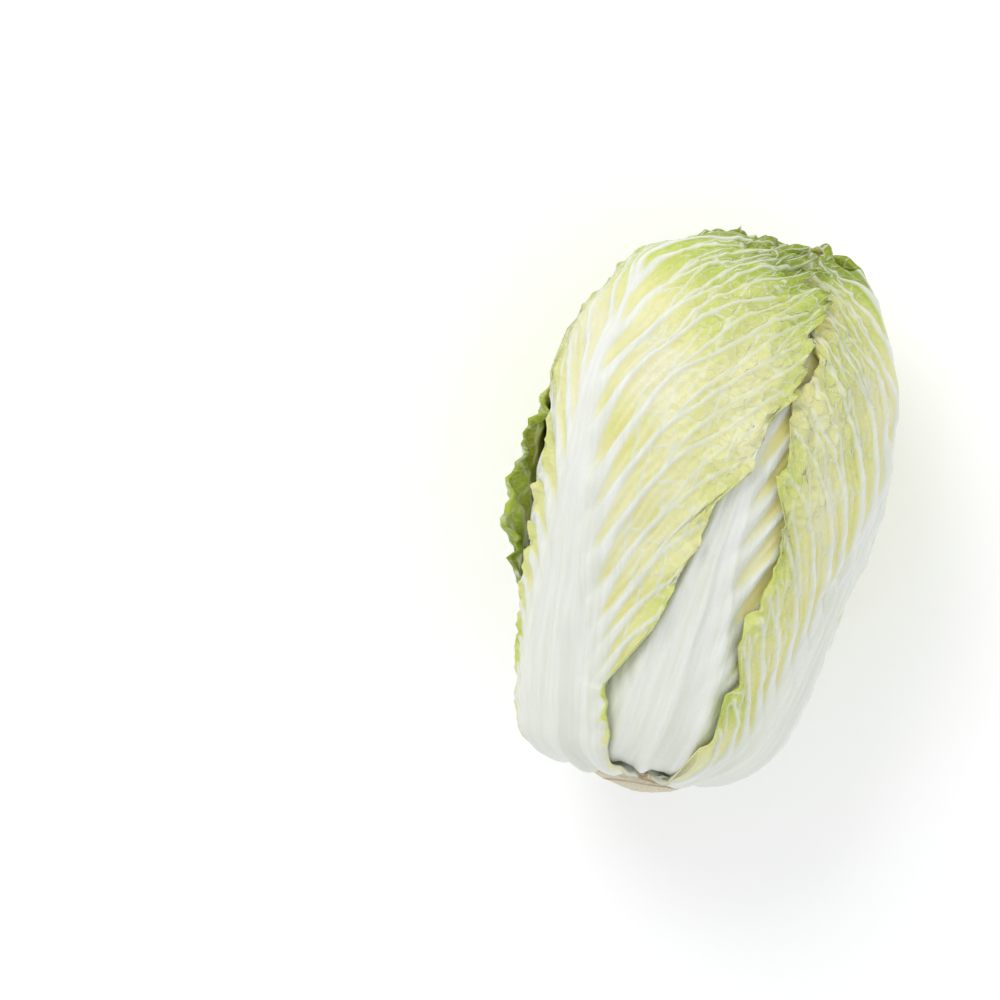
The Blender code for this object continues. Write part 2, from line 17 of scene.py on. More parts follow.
import bpy
import numpy as np
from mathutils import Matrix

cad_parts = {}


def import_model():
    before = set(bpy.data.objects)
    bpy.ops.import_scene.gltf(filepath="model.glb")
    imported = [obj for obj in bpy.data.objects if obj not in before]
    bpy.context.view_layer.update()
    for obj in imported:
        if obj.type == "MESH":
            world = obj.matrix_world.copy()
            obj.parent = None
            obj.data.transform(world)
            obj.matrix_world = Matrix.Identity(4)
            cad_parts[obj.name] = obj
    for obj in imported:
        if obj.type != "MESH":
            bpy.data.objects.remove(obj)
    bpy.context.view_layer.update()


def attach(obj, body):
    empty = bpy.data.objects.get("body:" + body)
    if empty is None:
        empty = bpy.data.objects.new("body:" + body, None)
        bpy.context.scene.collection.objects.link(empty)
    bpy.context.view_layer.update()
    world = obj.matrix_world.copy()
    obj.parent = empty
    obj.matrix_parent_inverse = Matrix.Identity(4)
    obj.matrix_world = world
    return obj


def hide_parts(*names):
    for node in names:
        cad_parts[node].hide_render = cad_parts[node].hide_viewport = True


LOG = logging.getLogger("napa_cabbage")
Array = np.ndarray
Colour = Tuple[int, int, int]
Curve = Sequence[Tuple[float, float]]
Socket = bpy.types.NodeSocket
TURN = 2 * math.pi


def linear(red: int, green: int, blue: int) -> Tuple[float, float, float, float]:
    """A colour given in screen values from 0 to 255, as the linear colour that shaders use.

    Args:
        red: the red value.
        green: the green value.
        blue: the blue value.

    Returns:
        Linear red, green and blue, and full opacity.
    """
    parts = [((v / 255 + 0.055) / 1.055) ** 2.4 if v > 10 else v / 255 / 12.92 for v in (red, green, blue)]
    return (parts[0], parts[1], parts[2], 1.0)


def smooth(value: Array, low: float, high: float) -> Array:
    """A soft step: 0 at low, 1 at high, and 3t^2 - 2t^3 between them."""
    t = np.clip((value - low) / (high - low), 0, 1)
    return t * t * (3 - 2 * t)


class Graph:
    """A smooth curve through (x, y) points, kept as a dense table and flat beyond its ends."""

    def __init__(self, points: Curve, samples: int = 900) -> None:
        """Fills the table: between two points it is a cubic whose slopes at both are the points' own."""
        known = np.array(points, float)
        x, y = known[:, 0], known[:, 1]
        slope = np.gradient(y, x)
        self.x = np.linspace(x[0], x[-1], samples)
        i = np.clip(np.searchsorted(x, self.x, side="right") - 1, 0, len(x) - 2)
        span = x[i + 1] - x[i]
        t = (self.x - x[i]) / span
        start = (1 + 2 * t) * (1 - t) ** 2 * y[i] + t * (1 - t) ** 2 * span * slope[i]
        end = t * t * (3 - 2 * t) * y[i + 1] + t * t * (t - 1) * span * slope[i + 1]
        self.y = start + end

    def __call__(self, at: Array) -> Array:
        """The curve's height at each x."""
        return np.interp(at, self.x, self.y)


def soft_noise(x: Array, y: Array, size: float, seed: int) -> Array:
    """Rolling noise from -1 to 1: a sum of six sine waves of about one size, each in its own direction.

    Args:
        x: first coordinate.
        y: second coordinate.
        size: the length of a wave.
        seed: picks the directions and phases.

    Returns:
        The noise at each place.
    """
    dice = np.random.default_rng(seed)
    total = np.zeros(np.broadcast(x, y).shape)
    for _ in range(6):
        way = dice.uniform(0, TURN)
        pace = TURN / (size * dice.uniform(0.7, 1.4))
        total = total + np.sin((x * math.cos(way) + y * math.sin(way)) * pace + dice.uniform(0, TURN))
    return total / 3.2


def cells(x: Array, y: Array, size: float, seed: int) -> Array:
    """Cells round scattered seeds, one to each square of a grid.

    Args:
        x: first coordinate.
        y: second coordinate.
        size: the width of a cell.
        seed: picks the places of the seeds.

    Returns:
        The second nearest seed's distance less the nearest one's, over the size: 0 on a cell's border.
    """
    table = np.random.default_rng(seed).uniform(0.12, 0.88, (64, 64, 2))
    u, v = x / size, y / size
    column, line = np.floor(u).astype(int), np.floor(v).astype(int)
    first = np.full(u.shape, 9.0)
    second = np.full(u.shape, 9.0)
    for i in (-1, 0, 1):
        for j in (-1, 0, 1):
            spot = table[(column + i) % 64, (line + j) % 64]
            away = np.hypot(column + i + spot[..., 0] - u, line + j + spot[..., 1] - v)
            second = np.minimum(second, np.maximum(first, away))
            first = np.minimum(first, away)
    return second - first


def blurred_grid(values: Array, reach: int) -> Array:
    """The values of a grid averaged over a square of 2 reach + 1 cells, by running sums."""
    for axis in (0, 1):
        pad = [(0, 0), (0, 0)]
        pad[axis] = (reach + 1, reach)
        total = np.cumsum(np.pad(values, pad, mode="edge"), axis=axis)
        width = 2 * reach + 1
        upper = np.take(total, np.arange(width, total.shape[axis]), axis=axis)
        lower = np.take(total, np.arange(0, total.shape[axis] - width), axis=axis)
        values = (upper - lower) / width
    return values


@dataclass
class HeadForm:
    """The smooth turned body that every leaf is laid on, and how it lies in the frame."""

    profile: Curve = (
        (0.0200, 0.0), (0.0205, 0.020), (0.0218, 0.037), (0.0275, 0.051), (0.043, 0.061), (0.065, 0.0665),
        (0.098, 0.073), (0.137, 0.080), (0.176, 0.0845), (0.202, 0.083), (0.222, 0.078), (0.2387, 0.0708),
        (0.253, 0.0594), (0.2618, 0.052), (0.2685, 0.0442), (0.275, 0.035), (0.2802, 0.025),
        (0.2832, 0.0139), (0.284, 0.0),
    )  # fmt: skip
    bend: Curve = (
        (0.0, 0.013), (0.012, 0.007), (0.02, 0.006), (0.03, 0.008), (0.045, 0.0095), (0.07, 0.0095),
        (0.10, 0.007), (0.13, 0.004), (0.17, 0.003), (0.21, 0.0022), (0.24, 0.003), (0.262, 0.0015),
        (0.274, 0.002), (0.285, 0.006), (0.295, 0.010), (0.305, 0.013),
    )  # fmt: skip
    length: float = 0.300
    base_drop: float = 0.006
    middle_x: float = -0.0037
    middle_y: float = 0.004
    flattening: float = 0.90
    axis_height: float = 0.0848
    lying_tilt: float = math.radians(2.5)

    def __post_init__(self) -> None:
        """Walks the profile and keeps the arc, the radius and the way out at each step of it."""
        known = np.array(self.profile)
        chord = np.r_[0, np.cumsum(np.hypot(*np.diff(known, axis=0).T))]
        along = Graph(list(zip(chord, known[:, 0]))), Graph(list(zip(chord, known[:, 1])))
        steps = np.linspace(0, chord[-1], 900)
        self.axial, self.radius = along[0](steps), np.maximum(along[1](steps), 0)
        self.arc = np.r_[0, np.cumsum(np.hypot(np.diff(self.axial), np.diff(self.radius)))]
        self.full_arc = float(self.arc[-1])
        way = np.gradient(self.axial, self.arc), np.gradient(self.radius, self.arc)
        size = np.hypot(*way)
        self.out_axial, self.out_radial = -way[1] / size, way[0] / size
        self.sway = Graph(self.bend)

    def radius_at(self, arc: Array) -> Array:
        """The body's radius at an arc."""
        return np.interp(arc, self.arc, self.radius)

    def in_frame(self, bearing: Array, axial: Array, radial: Array) -> Array:
        """Points in the frame: round the bent axis, flattened, and tipped a little as the head lies.

        On the -X side the base reaches further down, by a soft step of x that fades out along the axis.

        Args:
            bearing: the angle round the axis.
            axial: the distance along the axis from the cut stump.
            radial: the distance from the axis.

        Returns:
            The points, with x, y and z last.
        """
        x = radial * np.cos(bearing) + self.sway(axial)
        drop = self.base_drop * smooth(-x, -0.010, 0.045) * np.clip(1 - axial / 0.08, 0, 1) ** 2
        y = axial - drop - self.length / 2
        z = radial * np.sin(bearing) * self.flattening
        turned_y = y * math.cos(self.lying_tilt) - z * math.sin(self.lying_tilt) - self.middle_y
        turned_z = y * math.sin(self.lying_tilt) + z * math.cos(self.lying_tilt) + self.axis_height
        return np.stack(np.broadcast_arrays(x - self.middle_x, turned_y, turned_z), axis=-1)

    def place(self, bearing: Array, arc: Array, height: Array) -> Array:
        """Points at a height over the body: the profile's own point plus height times its way out."""
        axial = np.interp(arc, self.arc, self.axial) + height * np.interp(arc, self.arc, self.out_axial)
        radial = np.interp(arc, self.arc, self.radius) + height * np.interp(arc, self.arc, self.out_radial)
        return self.in_frame(bearing, axial, radial)


@dataclass
class Pile:
    """The heights of everything laid so far, on a raster of bearing and arc."""

    head: HeadForm
    bearings: int = 540
    arcs: int = 330

    def __post_init__(self) -> None:
        """Starts with the bare body."""
        self.bearing = np.arange(self.bearings) * TURN / self.bearings
        self.arc = np.linspace(0, self.head.full_arc, self.arcs)
        self.radius = np.maximum(self.head.radius_at(self.arc), 0.004)
        self.height = np.zeros((self.bearings, self.arcs))

    def blurred(self, values: Array, width: float) -> Array:
        """The values smoothed by a bell of this width: by waves round the head, by weights along it."""
        waves = np.arange(self.bearings // 2 + 1)[:, None]
        spread = np.exp(-0.5 * (waves * width / self.radius[None, :]) ** 2)
        round_it = np.fft.irfft(np.fft.rfft(values, axis=0) * spread, n=self.bearings, axis=0)
        apart = (self.arc[:, None] - self.arc[None, :]) / width
        bell = np.exp(-0.5 * apart**2)
        return round_it @ (bell / bell.sum(axis=1, keepdims=True)).T

    def widened(self, values: Array, steps: int) -> Array:
        """The highest value within some cells of each place."""
        for _ in range(steps):
            values = np.maximum.reduce([values, np.roll(values, 1, axis=0), np.roll(values, -1, axis=0)])
            side = np.pad(values, ((0, 0), (1, 1)), mode="edge")
            values = np.maximum.reduce([side[:, :-2], side[:, 1:-1], side[:, 2:]])
        return values

    def draped(self) -> Array:
        """A smooth sheet that lies on the pile and is nowhere below it."""
        soft = self.blurred(self.height, 0.007)
        short = np.maximum(self.height - soft, 0)
        return soft + self.blurred(self.widened(short, 3), 0.0018)

    def read(self, values: Array, bearing: Array, arc: Array) -> Array:
        """The values between their cells, at these places."""
        a = (bearing / TURN * self.bearings) % self.bearings
        b = np.clip(arc / self.arc[1], 0, self.arcs - 1.001)
        i, j = np.floor(a).astype(int), np.floor(b).astype(int)
        s, t = a - i, b - j
        i, after = i % self.bearings, (i + 1) % self.bearings
        low = values[i, j] * (1 - s) + values[after, j] * s
        high = values[i, j + 1] * (1 - s) + values[after, j + 1] * s
        return low * (1 - t) + high * t

    def raise_to(self, top: Array, where: Array) -> None:
        """Raises the pile to the top of what was laid."""
        self.height = np.where(where, np.maximum(self.height, top), self.height)


def closed_sheet(name: str, outer: Array, inner: Array) -> bpy.types.Object:
    """A closed thin solid from two grids of points: both faces, and a rim that joins them.

    Args:
        name: the piece's name.
        outer: the outer face's points, rows by columns by 3.
        inner: the inner face's points, of the same shape.

    Returns:
        The new object, with its faces pointing outwards.
    """
    rows, columns = outer.shape[:2]
    index = np.arange(rows * columns).reshape(rows, columns)
    a, b, c, d = index[:-1, :-1], index[1:, :-1], index[1:, 1:], index[:-1, 1:]
    face = np.stack([a, b, c, d], axis=-1).reshape(-1, 4)
    other = rows * columns
    loop = np.concatenate([index[0, :-1], index[:-1, -1], index[-1, :0:-1], index[:0:-1, 0]])
    after = np.roll(loop, -1)
    rim = np.stack([loop, after, after + other, loop + other], axis=-1)
    faces = np.concatenate([face, face[:, ::-1] + other, rim])
    points = np.concatenate([outer.reshape(-1, 3), inner.reshape(-1, 3)])
    return mesh_object(name, points, faces)


def closed_turning(name: str, rings: Array) -> bpy.types.Object:
    """A closed body from rings of points round an axis, with one more point in the middle of each end.

    Args:
        name: the piece's name.
        rings: rings by turns by 3.

    Returns:
        The new object, with its faces pointing outwards.
    """
    count, turns = rings.shape[:2]
    index = np.arange(count * turns).reshape(count, turns)
    after = np.roll(index, -1, axis=1)
    sides = np.stack([index[:-1], after[:-1], after[1:], index[1:]], axis=-1).reshape(-1, 4)
    first, last = np.full(turns, count * turns), np.full(turns, count * turns + 1)
    low = np.stack([index[0], first, after[0]], axis=-1)
    high = np.stack([index[-1], after[-1], last], axis=-1)
    points = np.concatenate([rings.reshape(-1, 3), rings[:1].mean(axis=1), rings[-1:].mean(axis=1)])
    return mesh_object(name, points, sides, np.concatenate([low, high]))


def with_poles(grid: Array) -> Array:
    """The values of a closed turning's points: a grid's, and those of the points in its two ends."""
    return np.r_[grid.ravel(), grid[0, 0], grid[-1, 0]]


def mesh_object(
    name: str, points: Array, quads: Array, triangles: Optional[Array] = None
) -> bpy.types.Object:
    """A smooth mesh object from arrays, turned right side out.

    The volume of the fan of pyramids from the origin to every face is positive when the faces point
    outwards, so all of them are turned round when it is negative.

    Args:
        name: the piece's name.
        points: the vertices.
        quads: four vertex numbers a face.
        triangles: three vertex numbers a face, where there are any.

    Returns:
        The new object, linked to the scene and unmoved.
    """
    triangles = np.zeros((0, 3), int) if triangles is None else triangles
    corners = points[quads]
    volume = 0.0
    for i, j, k in ((0, 1, 2), (0, 2, 3)):
        volume += np.einsum("ij,ij->", corners[:, i], np.cross(corners[:, j], corners[:, k]))
    if volume < 0:
        quads, triangles = quads[:, ::-1], triangles[:, ::-1]
    mesh = bpy.data.meshes.new(name)
    mesh.vertices.add(len(points))
    mesh.vertices.foreach_set("co", points.astype(np.float32).ravel())
    loops = np.concatenate([quads.ravel(), triangles.ravel()])
    mesh.loops.add(len(loops))
    mesh.loops.foreach_set("vertex_index", loops.astype(np.int32))
    sizes = np.r_[np.full(len(quads), 4), np.full(len(triangles), 3)]
    mesh.polygons.add(len(sizes))
    mesh.polygons.foreach_set("loop_start", np.r_[0, np.cumsum(sizes)[:-1]].astype(np.int32))
    mesh.polygons.foreach_set("loop_total", sizes.astype(np.int32))
    mesh.update(calc_edges=True)
    mesh.validate()
    mesh.shade_smooth()
    piece = bpy.data.objects.new(name, mesh)
    bpy.context.scene.collection.objects.link(piece)
    return piece


def give_values(piece: bpy.types.Object, values: Dict[str, Array]) -> None:
    """Stores one number a vertex under each name, for the piece's material."""
    for name, numbers in values.items():
        layer = piece.data.attributes.new(name, "FLOAT", "POINT")
        layer.data.foreach_set("value", numbers.astype(np.float32).ravel())


def give_plane(piece: bpy.types.Object, flat: Array) -> None:
    """Gives the piece a UV map from one flat place a vertex, in tenths of a metre."""
    layer = piece.data.uv_layers.new(name="leaf_plane")
    corner = np.zeros(len(piece.data.loops), dtype=np.int32)
    piece.data.loops.foreach_get("vertex_index", corner)
    layer.data.foreach_set("uv", (flat[corner] * 10).astype(np.float32).ravel())


class Side(Enum):
    """The two halves of a leaf, by the way the bearing grows."""

    LEFT = 1
    RIGHT = -1


MARGIN: Curve = (
    (0.02, 0.023), (0.06, 0.032), (0.10, 0.040), (0.15, 0.058), (0.19, 0.078), (0.23, 0.088), (0.27, 0.080),
    (0.30, 0.064), (0.325, 0.042), (0.340, 0.018), (0.348, 0.008),
)  # fmt: skip
RUFFLE: Curve = ((0.03, 0.002), (0.12, 0.004), (0.25, 0.004), (0.32, 0.003))


@dataclass(frozen=True)
class LeafPlan:
    """What makes one leaf different from the next.

    The midrib is a curve of (arc, bearing in degrees). The other curves are (arc, distance): to each
    margin from the midrib, half the petiole's width, and how far each margin stands off.
    """

    name: str
    node: str
    midrib: Curve
    tip: float
    phase: float
    left: Curve = MARGIN
    right: Curve = MARGIN
    petiole: Curve = (
        (0.02, 0.020), (0.06, 0.029), (0.11, 0.026), (0.16, 0.018), (0.20, 0.010), (0.27, 0.005),
        (0.34, 0.003),
    )  # fmt: skip
    left_ruffle: Curve = RUFFLE
    right_ruffle: Curve = RUFFLE
    base: float = 0.027
    rows: int = 200
    columns: int = 150
    green: float = 0.25
    top_green: float = 0.32
    # How strong the painted shade in the hollows is on the left half, as a share of the right half's.
    left_shade_weight: float = 1.0
    seed: int = 1
    ridges: float = 0.0006


class VeinTree:
    """The veins of one leaf, as short straight pieces on the leaf's plane.

    Attributes:
        far: the gap that a place gets where no vein is within reach.
        within: how far from a block of places a vein still counts for it.
        bell_width: half widths of a vein over which it lifts the leaf.
        at_once: how many places are measured in one block.
    """

    far: float = 0.02
    within: float = 0.008
    bell_width: float = 2.1
    at_once: int = 1024

    def __init__(self) -> None:
        """Starts with no veins."""
        self.parts: List[Array] = []

    def add(self, x: Array, y: Array, half: Array, rise: Array) -> None:
        """Adds one vein along these places, with its half width and its rise at each."""
        line = np.stack([x, y, half, rise], axis=-1)
        self.parts.append(np.concatenate([line[:-1], line[1:]], axis=-1))

    def measure(self, x: Array, y: Array) -> Tuple[Array, Array]:
        """How near the veins each place is, and how high they lift it.

        The nearest point of each straight piece is its start plus t times its length, with t held
        between 0 and 1. The gap is the distance to it less the half width there. The lift is the
        piece's rise times a cosine bell.

        Args:
            x: first coordinate of the places.
            y: second coordinate of the places.

        Returns:
            The least gap over all veins, and the greatest lift.
        """
        parts = np.concatenate(self.parts).astype(np.float32)
        start, end = parts[:, 0:2], parts[:, 4:6]
        way = end - start
        length = np.maximum((way**2).sum(axis=1), 1e-12)
        places = np.stack([x.ravel(), y.ravel()], axis=-1).astype(np.float32)
        gap = np.full(len(places), self.far, np.float32)
        lift = np.zeros(len(places), np.float32)
        for first in range(0, len(places), self.at_once):
            these = slice(first, first + self.at_once)
            block = places[these]
            low, high = block.min(axis=0) - self.within, block.max(axis=0) + self.within
            near = np.all((np.maximum(start, end) > low) & (np.minimum(start, end) < high), axis=1)
            if not near.any():
                continue
            off = block[:, None, :] - start[near][None]
            t = np.clip((off * way[near]).sum(axis=-1) / length[near], 0, 1)
            away = np.hypot(off[..., 0] - t * way[near, 0], off[..., 1] - t * way[near, 1])
            half = parts[near, 2] * (1 - t) + parts[near, 6] * t
            rise = parts[near, 3] * (1 - t) + parts[near, 7] * t
            gap[these] = np.minimum(gap[these], (away - half).min(axis=1))
            bell = 0.5 + 0.5 * np.cos(math.pi * np.clip(away / (self.bell_width * half), 0, 1))
            lift[these] = (rise * bell).max(axis=1)
        return gap.reshape(x.shape).astype(float), lift.reshape(x.shape).astype(float)


@dataclass
class Leaf:
    """One leaf: a thick white petiole that tapers into a midrib, and a thin veined blade on each side.

    A place on it is a row and an offset. The row is the arc at which the row's lateral vein leaves the
    petiole, and the offset is the distance from the midrib, positive towards larger bearings.
    """

    plan: LeafPlan
    head: HeadForm
    petiole_thickness: float = 0.0078
    blade_thickness: float = 0.0011
    lateral_bend: float = 0.025
    lateral_start: float = 1.3
    petiole_share: float = 0.30
    vein_height: float = 0.0030
    tip_curl: float = 0.004
    gap: float = 0.0008
    least_radius: float = 0.006
    first_vein: float = 0.050
    lobes: Curve = ((0.0030, 0.017), (0.0009, 0.0080))
    pitch: Curve = ((0.04, 0.011), (0.10, 0.0125), (0.15, 0.018), (0.20, 0.023), (0.36, 0.025))
    steepness: Curve = ((0.04, 0.75), (0.15, 1.05), (0.36, 1.10))
    fullness: Curve = ((0.02, 0.35), (0.05, 0.75), (0.09, 1.0), (0.17, 0.75), (0.25, 0.40), (0.34, 0.25))
    vein_strength: Curve = ((0.04, 0.40), (0.09, 0.72), (0.18, 1.0), (0.24, 0.75), (0.31, 0.35))

    def __post_init__(self) -> None:
        """Turns the plan's curves into graphs."""
        self.midrib = Graph([(arc, math.radians(degrees)) for arc, degrees in self.plan.midrib])
        self.petiole = Graph(self.plan.petiole)
        self.margin = {Side.LEFT: Graph(self.plan.left), Side.RIGHT: Graph(self.plan.right)}
        self.ruffle = {Side.LEFT: Graph(self.plan.left_ruffle), Side.RIGHT: Graph(self.plan.right_ruffle)}
        self.steep = Graph(self.steepness)
        rows = np.linspace(0, 0.40, 400)
        self.count = rows, np.cumsum(np.r_[0, np.diff(rows) / Graph(self.pitch)(rows)[1:]])
        self.full = Graph(self.fullness)
        self.walk = {side: self.walk_margin(side) for side in Side}
        # How strong the painted shade in the hollows is on each half.
        self.shade_weight = {Side.LEFT: self.plan.left_shade_weight, Side.RIGHT: 1.0}

    def walk_margin(self, side: Side) -> Tuple[Array, Array, Array]:
        """A table of rows, with the distance walked along the bare margin up to each, and its ease.

        The ease is 1 where the margin crosses the rows squarely and small where it runs along them, so
        that a lobe is never drawn out into a finger: 1 / sqrt(1 + slope^2 / 2).
        """
        row = np.linspace(self.plan.base, self.plan.tip, 700)
        reach = self.bare_reach(row, side)
        steps = np.hypot(np.diff(self.arc_of(row, reach)), np.diff(reach))
        slope = np.convolve(np.gradient(reach, row), np.ones(15) / 15, mode="same")
        return row, np.r_[0, np.cumsum(steps)], 1 / np.sqrt(1 + slope**2 / 2)

    def lateral(self, row: Array) -> Array:
        """The number of lateral veins below a row."""
        return np.interp(row, self.count[0], self.count[1])

    def row_at(self, lateral: Array) -> Array:
        """The row with this number of lateral veins below it."""
        return np.interp(lateral, self.count[1], self.count[0])

    def arc_of(self, row: Array, offset: Array) -> Array:
        """The arc of a place: steepness (d + s b (1 - e^(-d/b))) above its row, so steepest at first."""
        beyond = np.maximum(np.abs(offset) - self.petiole(row), 0)
        start = self.lateral_start * self.lateral_bend * (1 - np.exp(-beyond / self.lateral_bend))
        return row + self.steep(row) * (beyond + start)

    def row_of(self, arc: Array, offset: Array) -> Array:
        """The row through a place, found by walking back down its lateral vein in ever smaller steps."""
        row = arc
        for _ in range(22):
            row = row + 0.5 * (arc - self.arc_of(row, offset))
        return row

    def bare_reach(self, row: Array, side: Side) -> Array:
        """How far a row goes before it meets the leaf's outline, without the outline's lobes."""
        offset = np.linspace(0, 0.13, 327)[:, None]
        past = offset - self.margin[side](self.arc_of(row[None, :], offset))
        first = np.maximum(np.argmax(past >= 0, axis=0), 1)
        line = np.arange(len(row))
        before, after = past[first - 1, line], past[first, line]
        share = np.clip(before / np.minimum(before - after, -1e-9), 0, 1)
        return offset[first - 1, 0] + share * (offset[1, 0] - offset[0, 0])

    def reach(self, row: Array, side: Side) -> Array:
        """The bare reach with the margin's rounded lobes: large and small noise by the distance walked."""
        reach = self.bare_reach(row, side)
        known, distance, ease = self.walk[side]
        walked, ease = np.interp(row, known, distance), np.interp(row, known, ease)
        lobes = 0.0 * walked
        for number, (height, length) in enumerate(self.lobes):
            seed = self.plan.seed + 20 + number
            lobes = lobes + height * soft_noise(walked, 0 * walked + side.value, length, seed)
        calm = smooth(row, 0.03, 0.06) * (0.35 + 0.65 * smooth(row, 0.08, 0.16))
        return np.maximum(reach + lobes * ease * calm, self.petiole(row) + 0.0015)

    def grid(self) -> Tuple[Array, Array, Array, Array]:
        """The rows and columns of the leaf's points.

        Returns:
            The row, the offset, the share of the way to the margin, and the column's own place from -1
            to 1, each as a grid.
        """
        row = np.linspace(self.plan.base, self.plan.tip, self.plan.rows)
        across = np.linspace(-1, 1, self.plan.columns)
        width = self.petiole(row)[:, None]
        right, left = (self.reach(row, side)[:, None] for side in (Side.RIGHT, Side.LEFT))
        reach = np.where(across < 0, right, left)
        size, share = np.abs(across)[None, :], self.petiole_share
        blade = width + (reach - width) * np.clip((size - share) / (1 - share), 0, 1)
        offset = np.where(size <= share, size / share * width, blade) * np.sign(across)
        row, across = np.broadcast_to(row[:, None], offset.shape), np.broadcast_to(across, offset.shape)
        return row, offset, np.abs(offset) / reach, across

    def footprint(self, pile: Pile) -> Tuple[Array, Array, Array]:
        """Where every cell of the pile falls on the leaf.

        Args:
            pile: the raster of heights.

        Returns:
            The row and the column's place of each cell, and whether the leaf covers it.
        """
        arc = np.broadcast_to(pile.arc[None, :], pile.height.shape)
        turn = pile.bearing[:, None] - self.midrib(pile.arc)[None, :]
        turn = (turn + math.pi) % TURN - math.pi
        offset = turn * np.maximum(pile.radius, self.least_radius)[None, :]
        row = self.row_of(arc, offset)
        known = np.linspace(self.plan.base, self.plan.tip, 300)
        left, right = (np.interp(row, known, self.reach(known, side)) for side in (Side.LEFT, Side.RIGHT))
        reach, width, size = np.where(offset > 0, left, right), self.petiole(row), np.abs(offset)
        share = self.petiole_share
        beyond = share + (1 - share) * (size - width) / np.maximum(reach - width, 1e-4)
        place = np.where(size <= width, share * size / width, beyond)
        covers = (size <= reach) & (row >= self.plan.base) & (row <= self.plan.tip)
        return row, np.clip(place, 0, 1) * np.sign(offset), covers

    def grow_veins(self) -> VeinTree:
        """Grows the laterals from the petiole, and forks from each lateral towards its neighbours."""
        dice = np.random.default_rng(self.plan.seed)
        tree = VeinTree()
        first, last = self.lateral(np.array([self.plan.base, self.plan.tip]))
        for side in Side:
            for number in range(math.ceil(first), math.floor(last) + 1):
                lateral = number + dice.uniform(-0.10, 0.10)
                row = float(self.row_at(lateral))
                if row < self.first_vein:
                    continue
                width, reach = float(self.petiole(row)), float(self.reach(np.array([row]), side)[0])
                strength = float(np.interp(row, *zip(*self.vein_strength)))
                fork = dice.uniform(0.28, 0.50) * (reach - width)
                phase = dice.uniform(0, TURN)
                forked = reach - width > 0.030 and dice.random() < 0.8
                for branch in (-1, 1) if forked else (-1,):
                    start = width * 0.40 if branch < 0 else width + fork
                    offset = np.arange(start, reach * 0.98, 0.0025)
                    if len(offset) < 3:
                        continue
                    run, inside = np.maximum(offset - width, 0), np.maximum(width - offset, 0)
                    wobble = 0.13 * np.sin(run / 0.015 + phase) * smooth(run, 0.0, 0.03)
                    wobble = wobble + 0.05 * np.sin(run / 0.006 + 2 * phase) * smooth(run, 0.01, 0.03)
                    parting = np.maximum(run - fork, 0)
                    away = (0.52 if branch > 0 else -0.22) * (1 - np.exp(-parting / 0.022))
                    arc = self.arc_of(self.row_at(lateral + wobble + away), offset)
                    arc = arc - 2.3 * inside - 45 * inside**2
                    flare = 0.0014 * np.exp(-run / 0.006)
                    half = strength * (0.00042 + 0.0021 * np.exp(-run / 0.026) + flare) + 0.06 * inside
                    rise = strength * (self.vein_height * (0.16 + 0.84 * np.exp(-run / 0.042)))
                    rise = rise * smooth(offset, width * 0.40, width * 1.02)
                    slim = np.where(parting > 0, 0.80 if branch < 0 else 0.66, 1.0)
                    tree.add(side.value * offset, arc, half * slim, rise * slim)
                self.grow_forks(tree, dice, side, lateral, width, reach, strength)
        return tree

    def grow_forks(
        self,
        tree: VeinTree,
        dice: np.random.Generator,
        side: Side,
        lateral: float,
        width: float,
        reach: float,
        strength: float,
    ) -> None:
        """Grows the small veins of one lateral, by turns above and below it.

        One starts on the lateral and crosses at a steep angle towards the next lateral, for five to ten
        tenths of the way. One that goes up runs outwards less than one that goes down.

        Args:
            tree: takes the forks.
            dice: the leaf's own random numbers.
            side: the half of the leaf.
            lateral: the lateral's number.
            width: the petiole's half width.
            reach: the lateral's full reach.
            strength: the lateral's own strength.
        """
        run, above = 0.007 + dice.uniform(0, 0.006), dice.random() < 0.5
        while width + run < reach * 0.95:
            span = dice.uniform(0.002, 0.008) if above else dice.uniform(0.010, 0.017)
            t = np.linspace(0, 1, 8)
            bow = dice.uniform(-0.0012, 0.0012) * np.sin(math.pi * t)
            offset = width + run + span * t + bow
            keep = offset < reach * 0.985
            if keep.sum() > 2:
                t, offset = t[keep], offset[keep]
                away = (1 if above else -1) * dice.uniform(0.5, 1.0) * t
                rows = self.row_at(lateral + away)
                half = (0.00022 + 0.00042 * np.exp(-run / 0.045)) * (1.15 - 0.5 * t)
                half = half * (0.6 + 0.4 * strength)
                rise = (0.0004 + 0.0006 * np.exp(-run / 0.05)) * (1 - 0.5 * t) * strength
                tree.add(side.value * offset, self.arc_of(rows, offset), half, rise)
            run += dice.uniform(0.005, 0.009)
            above = not above

    def thickness(self, row: Array, offset: Array) -> Array:
        """The petiole's rounded section (1 - (offset / 1.1 width)^2)^1.2 over the blade, with long ridges.

        It thins over the last 12 mm towards the base and the last 35 mm towards the tip.
        """
        width = self.petiole(row)
        base_share = 0.3 + 0.7 * smooth(row - self.plan.base, 0.0, 0.012)
        full = self.petiole_thickness * self.full(row) * base_share
        full = full * (0.35 + 0.65 * smooth(self.plan.tip - row, 0.0, 0.035))
        across = np.clip(1 - (offset / (1.10 * width)) ** 2, 0, 1) ** 1.2
        drift = 0.7 * np.sin(row / 0.06 + self.plan.phase)
        drift = drift + 0.4 * soft_noise(row, offset, 0.05, self.plan.seed)
        ridges = np.cos(2.9 * math.pi * offset / width + drift)
        ridges = ridges + 0.35 * np.cos(6.1 * math.pi * offset / width + 1)
        lines = self.plan.ridges * ridges * across * smooth(width, 0.006, 0.020)
        return self.blade_thickness + np.maximum(full - self.blade_thickness, 0) * across + lines

